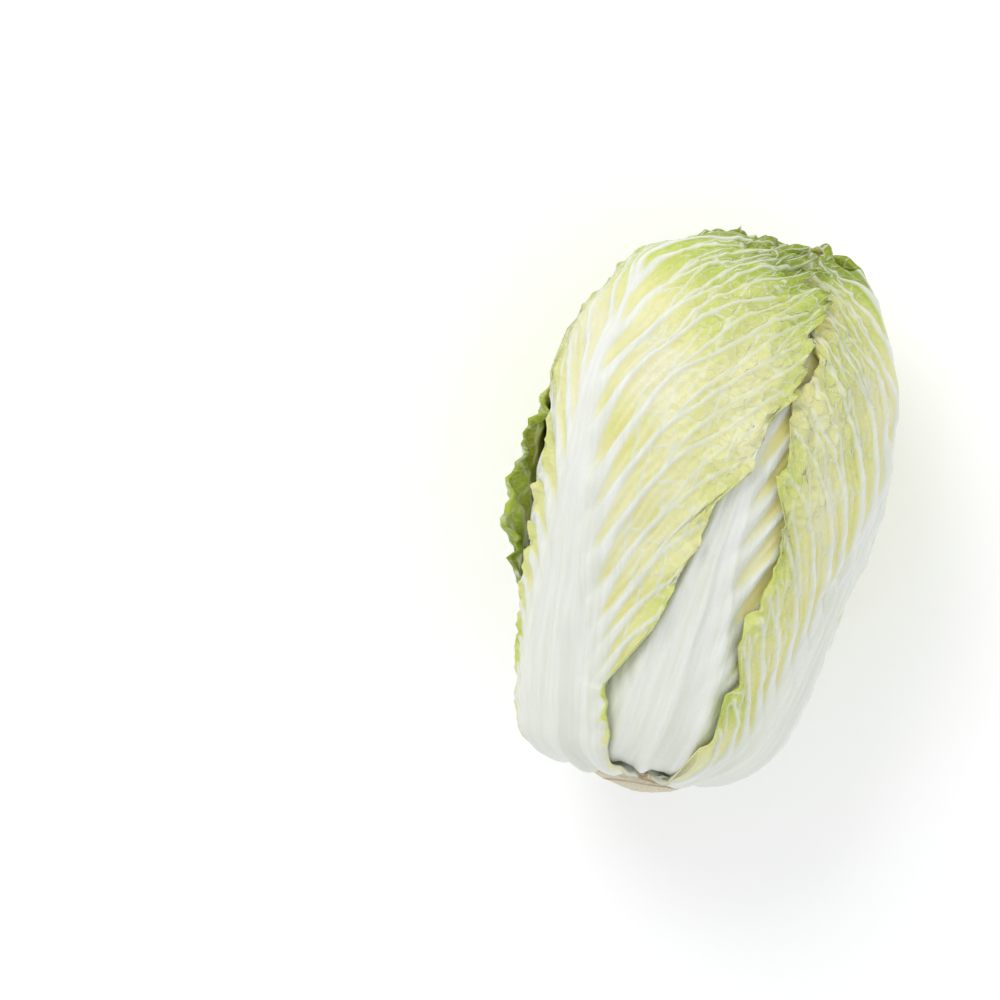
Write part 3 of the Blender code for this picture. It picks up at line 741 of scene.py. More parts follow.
    def lift(self, row: Array, offset: Array, edge: Array, arc: Array) -> Array:
        """How far the free margin and the tip stand off: a wave for each lateral, then smaller crinkles."""
        wave = np.sin(TURN * self.lateral(row) + self.plan.phase)
        left, right = self.ruffle[Side.LEFT](row), self.ruffle[Side.RIGHT](row)
        ruffle = np.where(offset > 0, left, right)
        curl = self.tip_curl * np.clip((row - self.plan.tip + 0.035) / 0.035, 0, 1) ** 2
        folds = soft_noise(arc, offset, 0.013, self.plan.seed + 30)
        crinkle = soft_noise(arc, offset, 0.0058, self.plan.seed + 31)
        shallow = np.minimum(ruffle, 0.006) * smooth(arc, 0.04, 0.09)
        small = edge**5 * 0.38 * folds + edge**10 * 0.30 * crinkle
        return ruffle * edge**4 * (0.65 + 0.25 * wave) + shallow * small + curl

    def blade_relief(self, row: Array, offset: Array, edge: Array, arc: Array) -> Array:
        """Long pleats between the laterals, and puckered cells that deepen towards the upper margin."""
        beyond = smooth(np.abs(offset) - self.petiole(row), 0.0, 0.010)
        warp = 0.25 * soft_noise(offset, arc, 0.030, self.plan.seed + 5)
        pleats = np.sin(TURN * (3 * self.lateral(row) + warp)) * 0.00040 * (1 - 0.5 * edge)
        x, y = offset, arc
        for push, size, seed in ((0.0015, 0.012, 3), (0.0022, 0.024, 5)):
            x = x + push * soft_noise(offset, arc, size, seed)
            y = y + push * soft_noise(arc, offset, size, seed + 1)
        large, small = cells(x, y, 0.0105, self.plan.seed), cells(x, y, 0.0052, self.plan.seed + 1)
        upper = smooth(arc, 0.12, 0.32)
        depth = (0.12 + 0.88 * smooth(edge, 0.25, 0.95)) * (0.22 + 0.78 * upper)
        pucker = -0.0017 * smooth(large, 0.02, 0.45) - 0.0007 * smooth(small, 0.05, 0.5)
        swell = 0.0010 * soft_noise(offset, arc, 0.032, self.plan.seed + 9)
        return beyond * (pleats + pucker * depth + swell * (0.5 + edge))

    def build(
        self, pile: Pile, print_of_leaf: Tuple[Array, ...], exposed: Array, cover_shade: Array
    ) -> bpy.types.Object:
        """Lays the leaf on the pile and makes its mesh.

        Args:
            pile: the heights below the leaf, which are raised to its top.
            print_of_leaf: the leaf's footprint on the pile.
            exposed: how free of later leaves each cell of the pile is, from 0 to 1.
            cover_shade: how near each cell is to a later leaf, from 0 to 1, for the painted shade under its
                margin.

        Returns:
            The leaf's object, with its plane and the values that its material reads.
        """
        row, offset, edge, place = self.grid()
        arc = self.arc_of(row, offset)
        bearing = self.midrib(arc) + offset / np.maximum(self.head.radius_at(arc), self.least_radius)
        bare = pile.read(exposed, bearing, arc)
        below = pile.read(pile.draped(), bearing, arc) + self.gap
        gap, veins = self.grow_veins().measure(offset, arc)
        shown = 0.90 - 0.34 * smooth(arc, 0.15, 0.27) + 0.06 * soft_noise(offset, arc, 0.03, 2)
        shown = shown * (0.3 + 0.7 * smooth(self.plan.tip - row, 0.0, 0.040))
        petiole_gap = np.abs(offset) - self.petiole(row) * shown - 0.006 * smooth(-arc, -0.060, -0.034)
        share = np.clip(0.5 + (petiole_gap * 0.6 - gap) / 0.006, 0, 1)
        gap = petiole_gap * 0.6 * (1 - share) + gap * share - 0.003 * share * (1 - share)
        relief = veins + self.blade_relief(row, offset, edge, arc)
        relief = relief * (0.3 + 0.7 * bare)
        inner = below + bare * self.lift(row, offset, edge, arc)
        outer = inner + np.maximum(self.thickness(row, offset) + relief + 0.0012, 0.0006)
        self.cover(pile, print_of_leaf, row, place, outer)
        high, low = self.head.place(bearing, arc, outer), self.head.place(bearing, arc, inner)
        high[..., 2] = np.maximum(high[..., 2], 0.0)
        low[..., 2] = np.maximum(low[..., 2], 0.0006)
        piece = closed_sheet(self.plan.name, high, low)
        # Painted shade: the hollows of the relief, away from the ribs and the margin, get a share of the
        # shade's yellow.
        painted_shade = np.clip((blurred_grid(relief, 3) - relief) / 0.0011, 0, 1)
        painted_shade = painted_shade * smooth(petiole_gap, 0.0, 0.004)
        # Painted shade under the margins of later leaves: near them the blade turns yellow.
        near = pile.read(cover_shade, bearing, arc) * smooth(petiole_gap, 0.0, 0.006)
        shade_weight = np.where(offset > 0, self.shade_weight[Side.LEFT], self.shade_weight[Side.RIGHT])
        painted_shade = np.maximum(0.7 * painted_shade * smooth(0.9 - edge, 0.0, 0.5) * shade_weight, near)
        to_tip = smooth(row, self.plan.tip - 0.045, self.plan.tip - 0.004)
        rim = smooth(edge, 0.78, 1.0) * smooth(arc, 0.29, 0.34)
        rim = np.maximum(rim, to_tip * smooth(arc, 0.25, 0.32))
        low_down = 1 + 0.5 * smooth(-arc, -0.16, -0.10)
        green = self.plan.green + 0.30 * edge**1.5 * smooth(arc, 0.04, 0.09) * low_down
        green = green + self.plan.top_green * smooth(arc, 0.250, 0.335) + 0.60 * rim
        # Painted shade: the blade is also less green near the margins of later leaves.
        green = green + 0.12 * soft_noise(offset, arc, 0.05, 8) - 0.35 * near
        pucker = smooth(edge, 0.15, 0.9) * (0.25 + 0.75 * smooth(arc, 0.12, 0.30))
        cut = smooth(self.plan.base + 0.0042 - row, 0.0, 0.004)
        green = np.clip(green, 0, 1)
        face = {"rib_gap": gap * 1000, "painted_shade": painted_shade, "green": green, "net": pucker, "cut": cut}
        give_values(piece, {key: np.tile(grid.ravel(), 2) for key, grid in face.items()})
        flat = np.stack([offset, arc], axis=-1).reshape(-1, 2)
        give_plane(piece, np.concatenate([flat, flat]))
        return piece

    def cover(
        self, pile: Pile, print_of_leaf: Tuple[Array, ...], row: Array, place: Array, outer: Array
    ) -> None:
        """Raises the pile to the leaf's outer face, read between the leaf's own rows and columns.

        Args:
            pile: the raster of heights.
            print_of_leaf: the row, column place and cover of each cell.
            row: the leaf's rows as a grid.
            place: the leaf's column places as a grid.
            outer: the height of the outer face at each point of the leaf.
        """
        cell_row, cell_place, covers = print_of_leaf
        rows, columns = outer.shape
        row_span, place_span = row[-1, 0] - row[0, 0], place[0, -1] - place[0, 0]
        i = np.clip((cell_row - row[0, 0]) / row_span * (rows - 1), 0, rows - 1.001)
        j = np.clip((cell_place - place[0, 0]) / place_span * (columns - 1), 0, columns - 1.001)
        a, b = np.floor(i).astype(int), np.floor(j).astype(int)
        s, t = i - a, j - b
        low = outer[a, b] * (1 - t) + outer[a, b + 1] * t
        high = outer[a + 1, b] * (1 - t) + outer[a + 1, b + 1] * t
        pile.raise_to(low * (1 - s) + high * s, covers)


class Wiring:
    """A hand for wiring one node material. Every method gives the socket that it makes."""

    def __init__(self, name: str) -> None:
        """Starts a material with an empty principled shader."""
        self.material = bpy.data.materials.new(name)
        self.material.use_nodes = True
        self.tree = self.material.node_tree
        self.shader = self.tree.nodes["Principled BSDF"]

    def link(self, value: object, socket: Socket) -> None:
        """Feeds a socket from another one, or sets it to a number or a colour."""
        if isinstance(value, Socket):
            self.tree.links.new(value, socket)
        else:
            socket.default_value = value

    def add(self, kind: str, **settings: object) -> bpy.types.Node:
        """A new node of this kind, with its settings."""
        node = self.tree.nodes.new(kind)
        for key, value in settings.items():
            setattr(node, key, value)
        return node

    def value_of(self, name: str) -> Socket:
        """A number stored on the mesh."""
        return self.add("ShaderNodeAttribute", attribute_name=name).outputs["Fac"]

    def math(self, operation: str, first: object, second: object = 0.0, clamp: bool = False) -> Socket:
        """The result of one operation on two numbers."""
        node = self.add("ShaderNodeMath", operation=operation, use_clamp=clamp)
        self.link(first, node.inputs[0])
        self.link(second, node.inputs[1])
        return node.outputs[0]

    def span(self, value: object, low: float, high: float, start: float = 0.0, end: float = 1.0) -> Socket:
        """A soft step of the value: start at low and end at high."""
        node = self.add("ShaderNodeMapRange", interpolation_type="SMOOTHSTEP")
        names = ("Value", "From Min", "From Max", "To Min", "To Max")
        for key, number in zip(names, (value, low, high, start, end)):
            self.link(number, node.inputs[key])
        return node.outputs["Result"]

    def blend(self, share: object, first: object, second: object, kind: str = "MIX") -> Socket:
        """Two colours mixed by a share of the second."""
        node = self.add("ShaderNodeMix", data_type="RGBA", blend_type=kind)
        self.link(share, node.inputs[0])
        self.link(first, node.inputs[6])
        self.link(second, node.inputs[7])
        return node.outputs[2]

    def ramp(self, value: object, stops: Sequence[Tuple[float, Tuple[float, ...]]]) -> Socket:
        """A colour picked from stops by a number."""
        node = self.add("ShaderNodeValToRGB")
        points = node.color_ramp.elements
        while len(points) < len(stops):
            points.new(0.5)
        for point, (place, colour) in zip(points, stops):
            point.position, point.color = place, colour
        self.link(value, node.inputs[0])
        return node.outputs[0]

    def plane(self) -> Socket:
        """The piece's own UV map."""
        return self.add("ShaderNodeUVMap", uv_map="leaf_plane").outputs[0]

    def noise(self, place: object, scale: float, detail: float = 3.0, rough: float = 0.5) -> Socket:
        """Cloudy noise from 0 to 1."""
        node = self.add("ShaderNodeTexNoise")
        self.link(place, node.inputs["Vector"])
        node.inputs["Scale"].default_value = scale
        node.inputs["Detail"].default_value = detail
        node.inputs["Roughness"].default_value = rough
        return node.outputs[0]

    def net(self, place: object, scale: float) -> Socket:
        """The distance to the border of the nearest cell, in cells."""
        node = self.add("ShaderNodeTexVoronoi", feature="DISTANCE_TO_EDGE", voronoi_dimensions="2D")
        self.link(place, node.inputs["Vector"])
        node.inputs["Scale"].default_value = scale
        return node.outputs["Distance"]

    def warped(self, place: object, scale: float, amount: float) -> Socket:
        """A place pushed about by noise, so that a pattern on it isn't even."""
        noise = self.add("ShaderNodeTexNoise")
        self.link(place, noise.inputs["Vector"])
        noise.inputs["Scale"].default_value = scale
        noise.inputs["Detail"].default_value = 2.0
        push = self.add("ShaderNodeVectorMath", operation="SCALE")
        self.link(noise.outputs[1], push.inputs[0])
        push.inputs["Scale"].default_value = amount
        total = self.add("ShaderNodeVectorMath", operation="ADD")
        self.link(place, total.inputs[0])
        self.link(push.outputs[0], total.inputs[1])
        return total.outputs[0]

    def stretched(self, place: object, across: float, along: float) -> Socket:
        """A place scaled by one amount across the leaf and by another along it."""
        node = self.add("ShaderNodeMapping")
        node.inputs["Scale"].default_value = (across, along, 1.0)
        self.link(place, node.inputs["Vector"])
        return node.outputs[0]

    def bump(self, height: object, distance: float, strength: float = 1.0, after: object = None) -> Socket:
        """A normal that follows a height."""
        node = self.add("ShaderNodeBump")
        node.inputs["Strength"].default_value = strength
        node.inputs["Distance"].default_value = distance
        self.link(height, node.inputs["Height"])
        if after is not None:
            self.link(after, node.inputs["Normal"])
        return node.outputs[0]


@dataclass(frozen=True)
class LeafFinish:
    """A waxy leaf: white ribs, a blade from cream to green, a fine pale net, and painted yellow shade in
    its hollows.
    """

    name: str = "napa_leaf"
    cream: Colour = (236, 234, 200)
    straw: Colour = (229, 228, 158)
    lime: Colour = (207, 215, 112)
    green: Colour = (172, 194, 52)
    dark: Colour = (134, 156, 14)
    rib: Colour = (237, 239, 236)
    vein: Colour = (230, 233, 212)
    # The yellow of the painted shade in the leaf's hollows and under the margins of later leaves.
    crevice_shade: Colour = (228, 214, 82)
    streak: Colour = (218, 223, 208)
    cut: Colour = (188, 160, 110)
    coarse_net: float = 15.0
    fine_net: float = 38.0
    roughness: float = 0.38
    sheen_of_wax: float = 0.12
    depth_of_light: float = 0.18

    def material(self) -> bpy.types.Material:
        """Wires the finish from the leaf's plane and its stored values."""
        w = Wiring(self.name)
        place = w.plane()
        gap, painted_shade, green, net = (w.value_of(name) for name in ("rib_gap", "painted_shade", "green", "net"))
        cloud = w.noise(place, 30.0, 4.0)
        shade = w.math("ADD", green, w.math("MULTIPLY", w.math("SUBTRACT", cloud, 0.5), 0.30), clamp=True)
        stops = zip((0.0, 0.3, 0.55, 0.8, 1.0), (self.cream, self.straw, self.lime, self.green, self.dark))
        blade = w.ramp(shade, [(at, linear(*colour)) for at, colour in stops])
        # Painted shade: the blade turns to the shade's yellow by the stored share of painted shade.
        blade = w.blend(w.math("MULTIPLY", painted_shade, 0.60), blade, linear(*self.crevice_shade))
        bent = w.warped(w.warped(place, 9.0, 0.05), 30.0, 0.02)
        coarse, fine = w.net(bent, self.coarse_net), w.net(bent, self.fine_net)
        coarse_line = w.span(coarse, 0.015, 0.075, 1.0, 0.0)
        fine_line = w.span(fine, 0.03, 0.12, 1.0, 0.0)
        lines = w.math("MAXIMUM", coarse_line, w.math("MULTIPLY", fine_line, 0.40))
        on_blade = w.span(gap, 0.2, 1.2)
        net_share = w.math("ADD", w.math("MULTIPLY", net, 0.80), 0.06)
        lines = w.math("MULTIPLY", w.math("MULTIPLY", lines, net_share), on_blade)
        blade = w.blend(w.math("MULTIPLY", lines, 0.80), blade, linear(*self.vein))
        on_rib = w.span(gap, -0.50, 0.95, 1.0, 0.0)
        deep_rib = w.span(gap, -1.4, 0.0, 1.0, 0.0)
        rib = w.blend(deep_rib, linear(*self.vein), linear(*self.rib))
        fibres = w.noise(w.stretched(place, 60.0, 3.0), 1.0, 4.0, 0.6)
        bands = w.noise(w.stretched(place, 17.0, 0.9), 1.0, 3.0, 0.5)
        rib = w.blend(w.span(fibres, 0.40, 0.72, 0.0, 0.40), rib, linear(*self.streak))
        rib = w.blend(w.span(bands, 0.42, 0.62, 0.0, 0.45), rib, linear(*self.streak))
        colour = w.blend(w.math("MULTIPLY", on_rib, 0.92), blade, rib)
        patches = w.span(w.noise(place, 45.0, 4.0, 0.6), 0.42, 0.62)
        colour = w.blend(w.math("MULTIPLY", w.value_of("cut"), patches), colour, linear(*self.cut))
        w.link(colour, w.shader.inputs["Base Color"])
        pits = w.math("MULTIPLY", w.span(coarse, 0.0, 0.34, 1.0, 0.0), w.math("MULTIPLY", net, on_blade))
        normal = w.bump(pits, 0.0006, 0.9)
        normal = w.bump(lines, 0.0003, 0.8, normal)
        strands = w.math("MULTIPLY", w.math("MULTIPLY", fibres, on_rib), 2.2)
        normal = w.bump(w.math("ADD", w.noise(place, 160.0, 3.0), strands), 0.00028, 0.6, normal)
        w.link(normal, w.shader.inputs["Normal"])
        dull = w.span(w.noise(place, 60.0, 3.0), 0.3, 0.7, self.roughness - 0.06, self.roughness + 0.10)
        w.link(dull, w.shader.inputs["Roughness"])
        w.shader.inputs["Subsurface Weight"].default_value = self.depth_of_light
        w.shader.inputs["Subsurface Radius"].default_value = (1.0, 0.85, 0.45)
        w.shader.inputs["Subsurface Scale"].default_value = 0.004
        w.shader.inputs["Coat Weight"].default_value = self.sheen_of_wax
        w.shader.inputs["Coat Roughness"].default_value = 0.3
        return w.material


@dataclass(frozen=True)
class StumpFinish:
    """The cut stump: cream flesh, with brown where the knife left it to dry."""

    name: str = "napa_stump"
    flesh: Colour = (236, 229, 206)
    dried: Colour = (212, 198, 162)
    scar: Colour = (160, 128, 84)
    roughness: float = 0.6

    def material(self) -> bpy.types.Material:
        """Wires the finish from the stump's plane and its stored scar value."""
        w = Wiring(self.name)
        place = w.plane()
        cloud = w.noise(place, 70.0, 5.0, 0.6)
        body = w.blend(w.span(cloud, 0.42, 0.72), linear(*self.flesh), linear(*self.dried))
        scars = w.math("MULTIPLY", w.value_of("scar"), w.span(w.noise(place, 140.0, 4.0, 0.65), 0.25, 0.6))
        w.link(w.blend(scars, body, linear(*self.scar)), w.shader.inputs["Base Color"])
        rough = w.math("ADD", w.noise(place, 260.0, 5.0, 0.7), w.math("MULTIPLY", cloud, 2.0))
        w.link(w.bump(rough, 0.0004, 0.7), w.shader.inputs["Normal"])
        w.shader.inputs["Roughness"].default_value = self.roughness
        return w.material


@dataclass(frozen=True)
class FloorFinish:
    """A plain pale studio floor."""

    name: str = "studio_floor"
    shade: Tuple[float, float, float, float] = (0.97, 0.97, 0.97, 1.0)
    glow: float = 0.13

    def material(self) -> bpy.types.Material:
        """A matt white with a faint glow of its own, like a light table, which softens the shadows."""
        w = Wiring(self.name)
        w.shader.inputs["Base Color"].default_value = self.shade
        w.shader.inputs["Roughness"].default_value = 0.9
        w.shader.inputs["Emission Color"].default_value = (1.0, 1.0, 1.0, 1.0)
        w.shader.inputs["Emission Strength"].default_value = self.glow
        return w.material


@dataclass
class Heart:
    """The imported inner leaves: one closed body, with their crinkled tips wound round the crown."""

    head: HeadForm
    turns: int = 200
    arcs: int = 180
    tips: int = 7
    tip_step: float = 0.0016
    tip_half: float = 1.9

    def height(self, bearing: Array, arc: Array) -> Array:
        """A step for each inner leaf, whose wavy edge goes part of the way round; and wrinkles."""
        crown = np.clip((arc - 0.25) / 0.05, 0, 1)
        height = np.zeros(np.broadcast(bearing, arc).shape)
        for k in range(self.tips):
            turn = (bearing - 2.4 * k + math.pi) % TURN - math.pi
            edge = 0.354 - 0.006 * k - 0.010 * (turn / self.tip_half) ** 2
            edge = edge + 0.0025 * np.sin(11 * bearing + k) + 0.0012 * np.sin(31 * bearing + 2 * k)
            ends = smooth(self.tip_half - np.abs(turn), 0, 0.2)
            height = height + self.tip_step * smooth(edge - arc, 0, 0.002) * ends
        wrinkles = 0.0011 * np.sin(13 * bearing + 160 * arc) * np.sin(210 * arc)
        return crown * (height + wrinkles * np.clip((self.head.full_arc - arc) / 0.02, 0, 1))

    def build(self) -> bpy.types.Object:
        """Makes the body and the values that the leaf finish reads."""
        arc = np.linspace(0.004, self.head.full_arc - 0.001, self.arcs)[:, None]
        bearing = (np.arange(self.turns) * TURN / self.turns)[None, :]
        height = self.height(bearing, arc)
        piece = closed_turning("packed_heart", self.head.place(bearing, arc + 0 * bearing, height))
        bearing, arc = np.broadcast_arrays(bearing, arc)
        crown = smooth(arc, 0.25, 0.35)
        rib = 4.0 + 6 * np.sin(9 * bearing) * (1 - crown)
        values = {
            "rib_gap": np.clip(rib, 0.4, 6.0),
            # Painted shade in the steps between the inner leaves' tips.
            "painted_shade": np.clip((blurred_grid(height, 3) - height) / self.tip_step, 0, 0.5),
            "green": 0.22 + 0.12 * crown + 0.10 * np.sin(5 * bearing),
            "net": 0.3 + 0.6 * crown,
            "cut": 0.0 * crown,
        }
        give_values(piece, {key: with_poles(grid) for key, grid in values.items()})
        flat = np.stack([bearing * 0.05, arc], axis=-1).reshape(-1, 2)
        give_plane(piece, np.concatenate([flat, flat[:1], flat[-1:]]))
        return piece


@dataclass
class Stump:
    """The stub of the stem: it narrows towards a cut that runs a little askew, with the leaves' scars."""

    head: HeadForm
    turns: int = 160
    profile: Curve = (
        (0.0192, 0.0200), (0.0184, 0.0242), (0.0120, 0.0258), (0.0072, 0.0246), (0.0042, 0.0195),
        (0.0012, 0.0085),
    )  # fmt: skip
    ledges: Curve = ((0.005, 0.5), (0.009, 2.6), (0.013, 4.4))
    faces_of_cut: int = 26

    def build(self) -> bpy.types.Object:
        """Makes the body: rings down the side, then rings inwards over the cut face."""
        known = np.array(self.profile)
        chord = np.r_[0, np.cumsum(np.hypot(*np.diff(known, axis=0).T))]
        steps = np.linspace(0, chord[-1], 60)
        axial, radius = np.interp(steps, chord, known[:, 0]), np.interp(steps, chord, known[:, 1])
        inward = np.linspace(1, 0.03, self.faces_of_cut)
        axial = np.r_[axial, axial[-1] - 0.0006 * np.sin(math.pi * (1 - inward) / 2)][:, None]
        radius = np.r_[radius, radius[-1] * inward][:, None]
        bearing = (np.arange(self.turns) * TURN / self.turns)[None, :]
        swell = 1 + 0.05 * np.cos(3 * bearing + 1.0) + 0.03 * np.cos(5 * bearing + 0.4)
        steps_up = (axial - at - 0.002 * np.cos(bearing - turn) for at, turn in self.ledges)
        ledge = sum(smooth(step, 0, 0.0007) for step in steps_up)
        ledge = ledge * smooth(radius, 0.012, 0.019)
        rough = 0.0003 * soft_noise(bearing * 0.02, axial, 0.004, 5)
        wide = radius * swell + rough + 0.0005 * (ledge - 2)
        lowest = np.clip(1 - axial / 0.010, 0, 1)
        askew = 0.0016 * np.cos(bearing - 0.6) * (radius / 0.02)
        rings = 0.00025 * np.cos(radius / 0.0011) * smooth(0.0012 - axial, 0, 0.0004)
        points = self.head.in_frame(bearing, axial + askew * lowest + rings, wide)
        piece = closed_turning("cut_stump", points)
        step = np.abs(np.gradient(ledge, axis=0))
        rim = np.exp(-(((radius - 0.0192) / 0.0012) ** 2)) * smooth(0.004 - axial, 0, 0.003)
        scar = np.clip(step * 3 + rim * 0.8 + 0.15, 0, 1) * np.ones_like(wide)
        give_values(piece, {"scar": with_poles(scar)})
        flat = np.stack([wide * np.cos(bearing), wide * np.sin(bearing) + axial], axis=-1).reshape(-1, 2)
        give_plane(piece, np.concatenate([flat, flat[:1], flat[-1:]]))
        return piece


def wrapper_plans() -> List[LeafPlan]:
    """The wrapper leaves, the inner ones first."""
    # fmt: off
    return [
        LeafPlan(
            name="wrapper_front_middle", node="leaf_front_middle", tip=0.326, phase=0.4,
            rows=200, columns=140, seed=11, green=0.10, ridges=0.0015,
            midrib=((0.03, 85), (0.06, 88), (0.10, 88), (0.15, 84), (0.20, 81.5), (0.34, 80)),
            petiole=(
                (0.02, 0.022), (0.06, 0.028), (0.10, 0.028), (0.13, 0.023), (0.155, 0.016), (0.205, 0.009),
                (0.33, 0.003),
            ),
        ),
        LeafPlan(
            name="wrapper_back_right", node="leaf_back_right", tip=0.320, phase=3.0,
            rows=160, columns=120, seed=12, green=0.35,
            midrib=((0.03, 322), (0.20, 318), (0.34, 310)),
            left_ruffle=((0.03, 0.002), (0.20, 0.004), (0.26, 0.010), (0.32, 0.012)),
        ),
        LeafPlan(
            name="wrapper_left", node="leaf_left", tip=0.315, phase=0.9,
            # Its greener blade is partly the leaf's own green and partly painted shade on the head's left
            # side.
            rows=190, columns=140, seed=13, green=0.52,
            midrib=((0.03, 170), (0.12, 168), (0.163, 163), (0.20, 161), (0.23, 161), (0.34, 170)),
            right_ruffle=((0.03, 0.002), (0.12, 0.003), (0.19, 0.001), (0.32, 0.001)),
        ),
        LeafPlan(
            name="wrapper_back_left", node="leaf_back_left", tip=0.318, phase=1.9,
            # Its greener blade is partly the leaf's own green and partly painted shade on the head's left
            # side.
            rows=190, columns=140, seed=14, green=0.62,
            midrib=((0.03, 232), (0.20, 226), (0.34, 220)),
            right=(
                (0.02, 0.023), (0.06, 0.034), (0.10, 0.050), (0.13, 0.067), (0.16, 0.076), (0.19, 0.081),
                (0.23, 0.086), (0.27, 0.080), (0.30, 0.064), (0.325, 0.042), (0.340, 0.018), (0.348, 0.008),
            ),
            right_ruffle=(
                (0.03, 0.001), (0.072, 0.004), (0.084, 0.012), (0.095, 0.018), (0.108, 0.015),
                (0.120, 0.008), (0.132, 0.004),
            ),
        ),
        LeafPlan(
            name="wrapper_under", node="leaf_under", tip=0.312, phase=2.2,
            rows=160, columns=120, seed=15, green=0.40,
            midrib=((0.03, 270), (0.20, 270), (0.34, 266)),
        ),
        LeafPlan(
            name="wrapper_front_right", node="leaf_front_right", tip=0.328, phase=1.2,
            rows=230, columns=186, seed=16, green=0.16, ridges=0.0012,
            midrib=(
                (0.03, 30), (0.06, 24), (0.10, 24), (0.148, 19), (0.192, 17), (0.23, 15), (0.262, 12),
                (0.295, 12), (0.32, 16), (0.345, 20),
            ),
            left=(
                (0.020, 0.0240), (0.050, 0.0336), (0.062, 0.0464), (0.075, 0.0467), (0.095, 0.0497),
                (0.104, 0.0464), (0.111, 0.0492), (0.121, 0.0574), (0.145, 0.0606), (0.153, 0.0624),
                (0.163, 0.0606), (0.174, 0.0619), (0.190, 0.0694), (0.197, 0.0737), (0.208, 0.0800),
                (0.219, 0.0808), (0.229, 0.0797), (0.236, 0.0823), (0.248, 0.0775), (0.266, 0.0700),
                (0.280, 0.0620), (0.289, 0.0564), (0.310, 0.0478), (0.324, 0.0332), (0.335, 0.0160),
                (0.345, 0.0080),
            ),
            petiole=(
                (0.02, 0.022), (0.06, 0.028), (0.097, 0.0225), (0.13, 0.0175), (0.18, 0.014),
                (0.22, 0.009), (0.27, 0.005), (0.34, 0.003),
            ),
            left_ruffle=((0.03, 0.004), (0.12, 0.005), (0.25, 0.005), (0.32, 0.003)),
            right_ruffle=((0.03, 0.002), (0.20, 0.004), (0.26, 0.009), (0.32, 0.009)),
        ),
        LeafPlan(
            name="wrapper_front_left", node="leaf_front_left", tip=0.332, phase=0.0,
            # Its left half gets only a little painted shade in its hollows.
            rows=240, columns=195, seed=17, green=0.10, top_green=0.62, left_shade_weight=0.15, ridges=0.0012,
            midrib=(
                (0.03, 132), (0.06, 136), (0.10, 139), (0.14, 137), (0.18, 136.5), (0.22, 139.5),
                (0.247, 143), (0.262, 144), (0.273, 146.5), (0.283, 149), (0.294, 153), (0.306, 158),
                (0.34, 163),
            ),
            petiole=(
                (0.02, 0.022), (0.05, 0.026), (0.10, 0.025), (0.14, 0.020), (0.18, 0.015),
                (0.22, 0.0105), (0.27, 0.006), (0.33, 0.0035),
            ),
            left=(
                (0.02, 0.024), (0.06, 0.030), (0.10, 0.031), (0.15, 0.029), (0.19, 0.027), (0.215, 0.030),
                (0.24, 0.042), (0.26, 0.053), (0.28, 0.057), (0.305, 0.052), (0.328, 0.032), (0.345, 0.012),
            ),
            right=(
                (0.020, 0.0240), (0.050, 0.0278), (0.075, 0.0293), (0.084, 0.0270), (0.099, 0.0350),
                (0.121, 0.0486), (0.142, 0.0553), (0.156, 0.0602), (0.169, 0.0662), (0.182, 0.0682),
                (0.192, 0.0712), (0.200, 0.0775), (0.207, 0.0845), (0.222, 0.0892), (0.238, 0.0933),
                (0.248, 0.0984), (0.263, 0.0970), (0.275, 0.0930), (0.289, 0.0916), (0.297, 0.0860),
                (0.310, 0.0686), (0.323, 0.0476), (0.335, 0.0240), (0.345, 0.0100),
            ),
            right_ruffle=(
                (0.03, 0.003), (0.12, 0.005), (0.20, 0.005), (0.25, 0.007), (0.30, 0.006), (0.33, 0.001),
            ),
        ),
    ]
    # fmt: on


@dataclass
class Cabbage:
    """The whole head: the heart, the stump and the wrapper leaves laid round them."""

    head: HeadForm = field(default_factory=HeadForm)
    plans: List[LeafPlan] = field(default_factory=wrapper_plans)

    def dress(self, piece: bpy.types.Object, finish: bpy.types.Material, node: str) -> None:
        """Gives a piece its finish and its place in the frame, and reports it."""
        piece.data.materials.append(finish)
        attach(piece, "root")
        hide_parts(node)
        LOG.info("%s: %d faces", piece.name, len(piece.data.polygons))

    def build(self) -> None:
        """Builds the heart and the stump, then lays the leaves from the innermost to the outermost."""
        leaf_finish = LeafFinish().material()
        heart = Heart(self.head)
        self.dress(heart.build(), leaf_finish, "heart")
        self.dress(Stump(self.head).build(), StumpFinish().material(), "stem")
        pile = Pile(self.head)
        pile.height = np.maximum(heart.height(pile.bearing[:, None], pile.arc[None, :]), 0)
        leaves = [Leaf(plan, self.head) for plan in self.plans]
        prints = [leaf.footprint(pile) for leaf in leaves]
        for number, leaf in enumerate(leaves):
            later = np.zeros_like(pile.height)
            for above in prints[number + 1 :]:
                later = np.maximum(later, above[2])
            exposed = 1 - np.clip(pile.blurred(pile.widened(later, 2), 0.003), 0, 1)
            # How near each cell is to a later leaf, for the painted shade under its margin.
            cover_shade = np.clip(pile.blurred(pile.widened(later, 5), 0.005), 0, 1)
            piece = leaf.build(pile, prints[number], exposed, cover_shade)
            self.dress(piece, leaf_finish, leaf.plan.node)


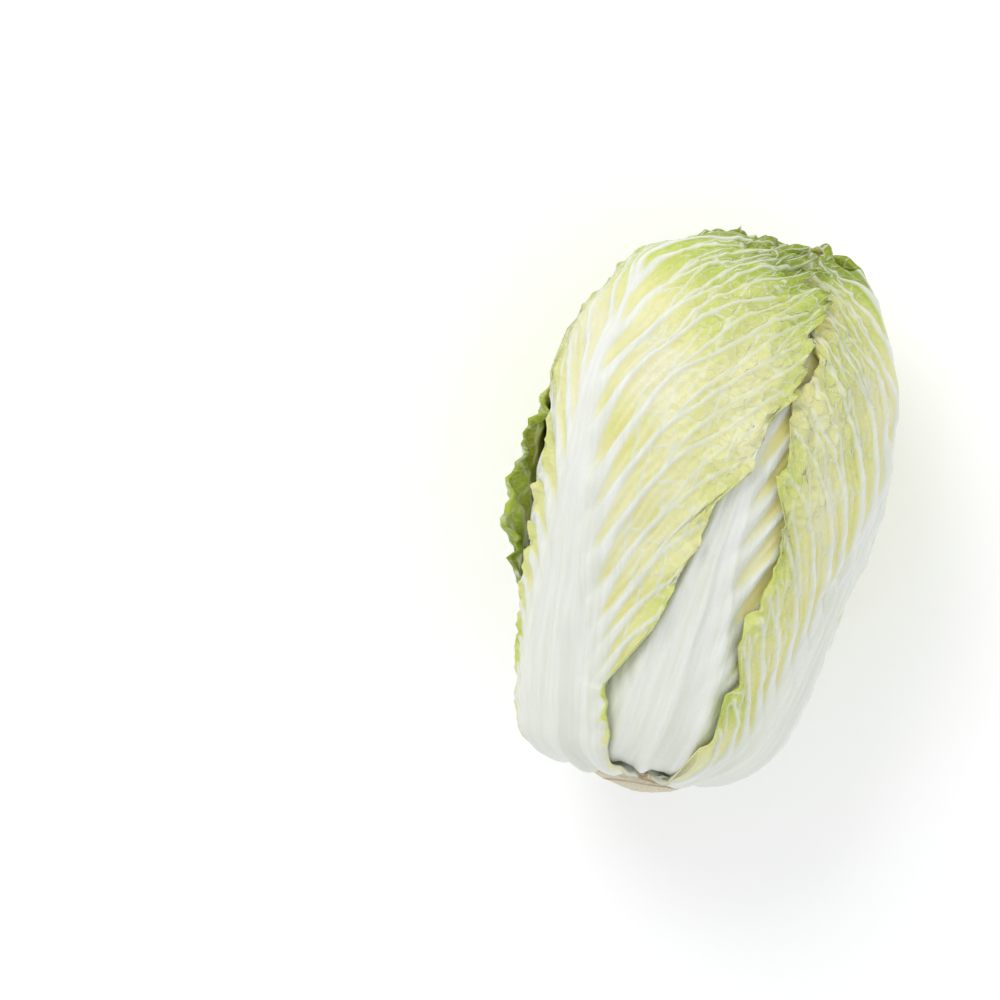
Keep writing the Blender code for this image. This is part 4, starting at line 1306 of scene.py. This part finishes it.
@dataclass
class Studio:
    """A pale floor, soft lights and the camera that looks straight down on the head."""

    view_width: float = 0.5236
    camera_height: float = 2.2
    subject_height: float = 0.085
    looks_at: Tuple[float, float] = (-0.0945, -0.0262)
    lean: float = math.radians(16)
    sensor_width: float = 36.0
    floor_size: float = 6.0
    air_glow: float = 0.70
    lights_aim: float = 0.08

    def build(self) -> None:
        """Sets the floor, the lights, the world and the camera."""
        self.lay_floor()
        self.hang_light("key_softbox", (-1.0, 0.9, 1.4), 1.0, 12.5, (1.0, 1.0, 1.0))
        self.hang_light("fill_softbox", (1.2, -0.5, 1.5), 1.6, 5.5, (0.86, 0.93, 1.0))
        world = bpy.context.scene.world or bpy.data.worlds.new("studio_air")
        bpy.context.scene.world = world
        world.use_nodes = True
        back = world.node_tree.nodes["Background"]
        back.inputs["Color"].default_value = (1.0, 1.0, 1.0, 1.0)
        back.inputs["Strength"].default_value = self.air_glow
        bpy.context.scene.view_settings.view_transform = "Standard"
        self.place_camera()

    def lay_floor(self) -> None:
        """A flat square under the head."""
        half = self.floor_size / 2
        mesh = bpy.data.meshes.new("studio_floor")
        corners = [(-half, -half, 0), (half, -half, 0), (half, half, 0), (-half, half, 0)]
        mesh.from_pydata(corners, [], [(0, 1, 2, 3)])
        floor = bpy.data.objects.new("studio_floor", mesh)
        mesh.materials.append(FloorFinish().material())
        bpy.context.scene.collection.objects.link(floor)

    def hang_light(
        self,
        name: str,
        place: Tuple[float, float, float],
        size: float,
        power: float,
        colour: Tuple[float, float, float],
    ) -> None:
        """A square soft light that faces the head."""
        data = bpy.data.lights.new(name, "AREA")
        data.size, data.energy, data.color = size, power, colour
        light = bpy.data.objects.new(name, data)
        light.location = place
        away = np.array(place) - np.array([0.0, 0.0, self.lights_aim])
        flat = math.hypot(away[0], away[1])
        light.rotation_euler = (math.atan2(flat, away[2]), 0.0, math.atan2(away[0], -away[1]))
        bpy.context.scene.collection.objects.link(light)

    def place_camera(self) -> None:
        """A long lens whose view is view_width wide at the head's middle, rolled so that the head leans."""
        data = bpy.data.cameras.new("overhead_camera")
        data.sensor_width = self.sensor_width
        data.lens = self.sensor_width * (self.camera_height - self.subject_height) / self.view_width
        data.clip_end = 20.0
        camera = bpy.data.objects.new("overhead_camera", data)
        camera.location = (self.looks_at[0], self.looks_at[1], self.camera_height)
        camera.rotation_euler = (0.0, 0.0, self.lean)
        bpy.context.scene.collection.objects.link(camera)
        bpy.context.scene.camera = camera


def main() -> None:
    """Builds the head and the studio in order."""
    logging.basicConfig(level=logging.INFO, format="%(name)s %(message)s")
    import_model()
    Cabbage().build()
    Studio().build()


if __name__ == "__main__":
    main()
